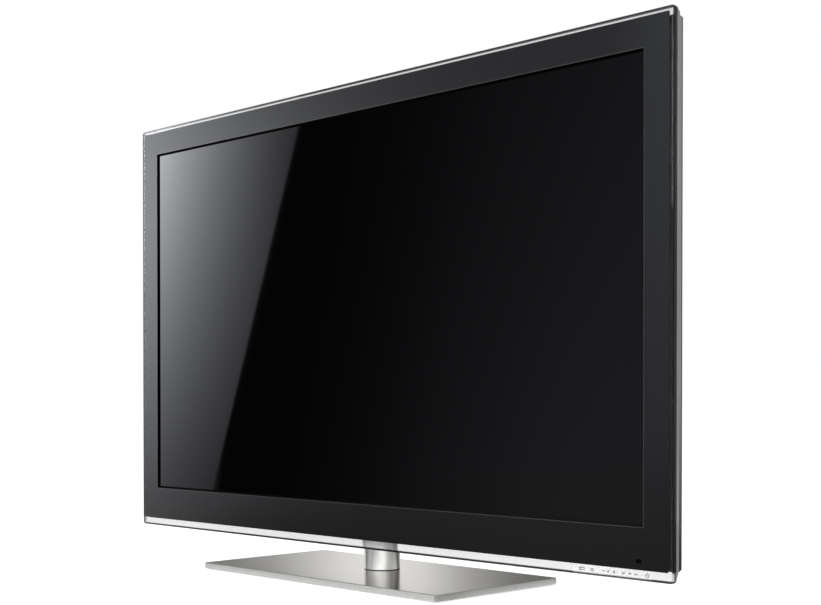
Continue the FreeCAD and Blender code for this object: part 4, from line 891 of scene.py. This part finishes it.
# the dark wall is high up to the step, and lower from there to the front wall
room = {"front": -6, "frontHigh": 2.2, "step": -3, "stepHigh": 3, "left": -3.2, "right": 3, "back": 3,
        "sideHigh": 6, "tint": (1.01, 0.985, 1.09, 1)}
# the dark is graded by the bearing from the point (x, y)
dark = {"x": 1.616, "y": 1.447, "bearing": (0.3, 1.6), "sink": 0.06, "dim": 0.12}
# the floor's own card leaves the stand's place free
carpet = {"z": 0.002, "left": -4, "right": 3, "front": -6, "back": 1.1, "standX": 0.29, "standY": 0.15}
behind = {"y": 1.2, "left": -3.2, "right": 0.4, "high": 1.0, "graded": (-2.2, -0.5)}
neckRing = {"radius": 0.13, "low": 0.0114, "high": 0.25, "steps": 36, "upper": (0.030, 0.045), "dim": 0.30}


def brightWall(paint):
    # climbs steeply leftwards from the slanted line
    z = paint.axis("Z")
    line = wall["lineLow"] + z * ((wall["lineHigh"] - wall["lineLow"]) / wall["high"])
    away = (paint.axis("Y") - line).least(wall["cap"])
    upward = wall["tone"] + z * (wall["rise"] + wall["bow"] * z)
    return math.e ** (upward + away * (wall["climb"] + wall["lean"] * z + wall["ease"] * away))


def darkRoom(paint):
    # the front room's darkness, a little deeper with height
    z = paint.axis("Z")
    bearing = (dark["x"] - paint.axis("X")) / (dark["y"] - paint.axis("Y"))
    tone = paint.ramp(bearing.between(*dark["bearing"]) + z * dark["sink"], [
        (0.0, 0.14), (0.18, 0.18), (0.30, 0.238), (0.37, 0.232), (0.42, 0.20), (0.47, 0.152), (0.52, 0.115),
        (0.58, 0.065), (0.64, 0.035), (0.71, 0.015), (0.80, 0.013), (0.825, 0.34), (1.0, 0.8)])
    return tone * (1 - z * dark["dim"])


def behindPlate(paint):
    # what the steel plate mirrors at a low angle, brightest behind the neck
    return paint.ramp(paint.axis("X").between(*behind["graded"]), [
        (0.0, 0.195), (0.16, 0.254), (0.27, 0.358), (0.37, 0.553), (0.47, 0.77), (0.56, 0.875),
        (0.66, 0.75), (0.76, 0.40), (0.86, 0.195), (1.0, 0.10)])


def roundNeck(paint):
    # what the neck mirrors, by the bearing about its ring's middle, and dimmer higher up
    where = paint.add("ShaderNodeTexCoord", out="Object")
    turn = paint.add("ShaderNodeTexGradient", {"gradient_type": "RADIAL"}, {0: where}, out="Fac")
    tone = paint.ramp(turn, [
        (0.0, 0.10), (0.03, 0.05), (0.07, 0.34), (0.10, 0.38), (0.125, 0.48), (0.15, 0.58), (0.19, 0.43),
        (0.23, 0.42), (0.265, 0.51), (0.30, 0.68), (0.34, 0.81), (0.39, 0.98), (0.43, 1.12), (0.455, 0.98),
        (0.475, 0.80), (0.505, 0.42), (0.535, 0.18), (0.575, 0.06), (0.61, 0.18), (0.655, 0.0), (0.68, 0.0),
        (0.735, 0.27), (0.85, 0.50), (0.95, 0.30), (1.0, 0.10)])
    return tone * (1 - paint.axis("Z").between(*neckRing["upper"]) * neckRing["dim"])


def plainRoom(paint):
    return studio["mirrored"]


brightOutline = [(wall["leftLow"], 0), (wall["lineLow"], 0), (wall["lineHigh"], wall["high"]),
                 (wall["leftHigh"], wall["high"])]
card("brightCard", onWall(brightOutline), brightWall, standAside, tint=wall["tint"])

darkOutline = [(wall["lineLow"], 0), (room["front"], 0), (room["front"], room["frontHigh"]),
               (room["step"], room["frontHigh"]), (room["step"], room["stepHigh"]),
               (wall["lineHigh"], room["stepHigh"]), (wall["lineHigh"], wall["high"])]
card("darkCard", onWall(darkOutline), darkRoom, neckAside, tint=room["tint"])
card("frontCard", acrossRoom(room["front"], wall["x"], room["right"], room["frontHigh"]),
     darkRoom, neckAside, tint=room["tint"])
card("floorCard", lyingFlat(carpet["z"], carpet["left"], carpet["right"], carpet["front"], carpet["back"])
     + lyingFlat(carpet["z"], -carpet["standX"], carpet["standX"], -carpet["standY"], carpet["standY"]),
     darkRoom, neckAside, [(0, 1, 5, 4), (1, 2, 6, 5), (2, 3, 7, 6), (3, 0, 4, 7)])
card("behindCard", acrossRoom(behind["y"], behind["left"], behind["right"], behind["high"]),
     behindPlate, neckAside)

sideOutline = [(room["right"], room["front"]), (room["right"], room["back"]), (room["left"], room["back"])]
sideCorners = [(x, y, z) for x, y in sideOutline for z in (0, room["sideHigh"])]
card("sideCard", sideCorners, plainRoom, neckAside, [(0, 2, 3, 1), (2, 4, 5, 3)])

count = neckRing["steps"]
turns = [2 * math.pi * step / count for step in range(count)]
ringCorners = [(neckRing["radius"] * math.cos(turn), neckRing["radius"] * math.sin(turn), z)
               for z in (neckRing["low"], neckRing["high"]) for turn in turns]
ringFaces = [(step, (step + 1) % count, count + (step + 1) % count, count + step) for step in range(count)]
ringFaces.append(tuple(range(count)))
card("neckCard", ringCorners, roundNeck, neckAlone, ringFaces, clear=True)
print("reflection cards placed")
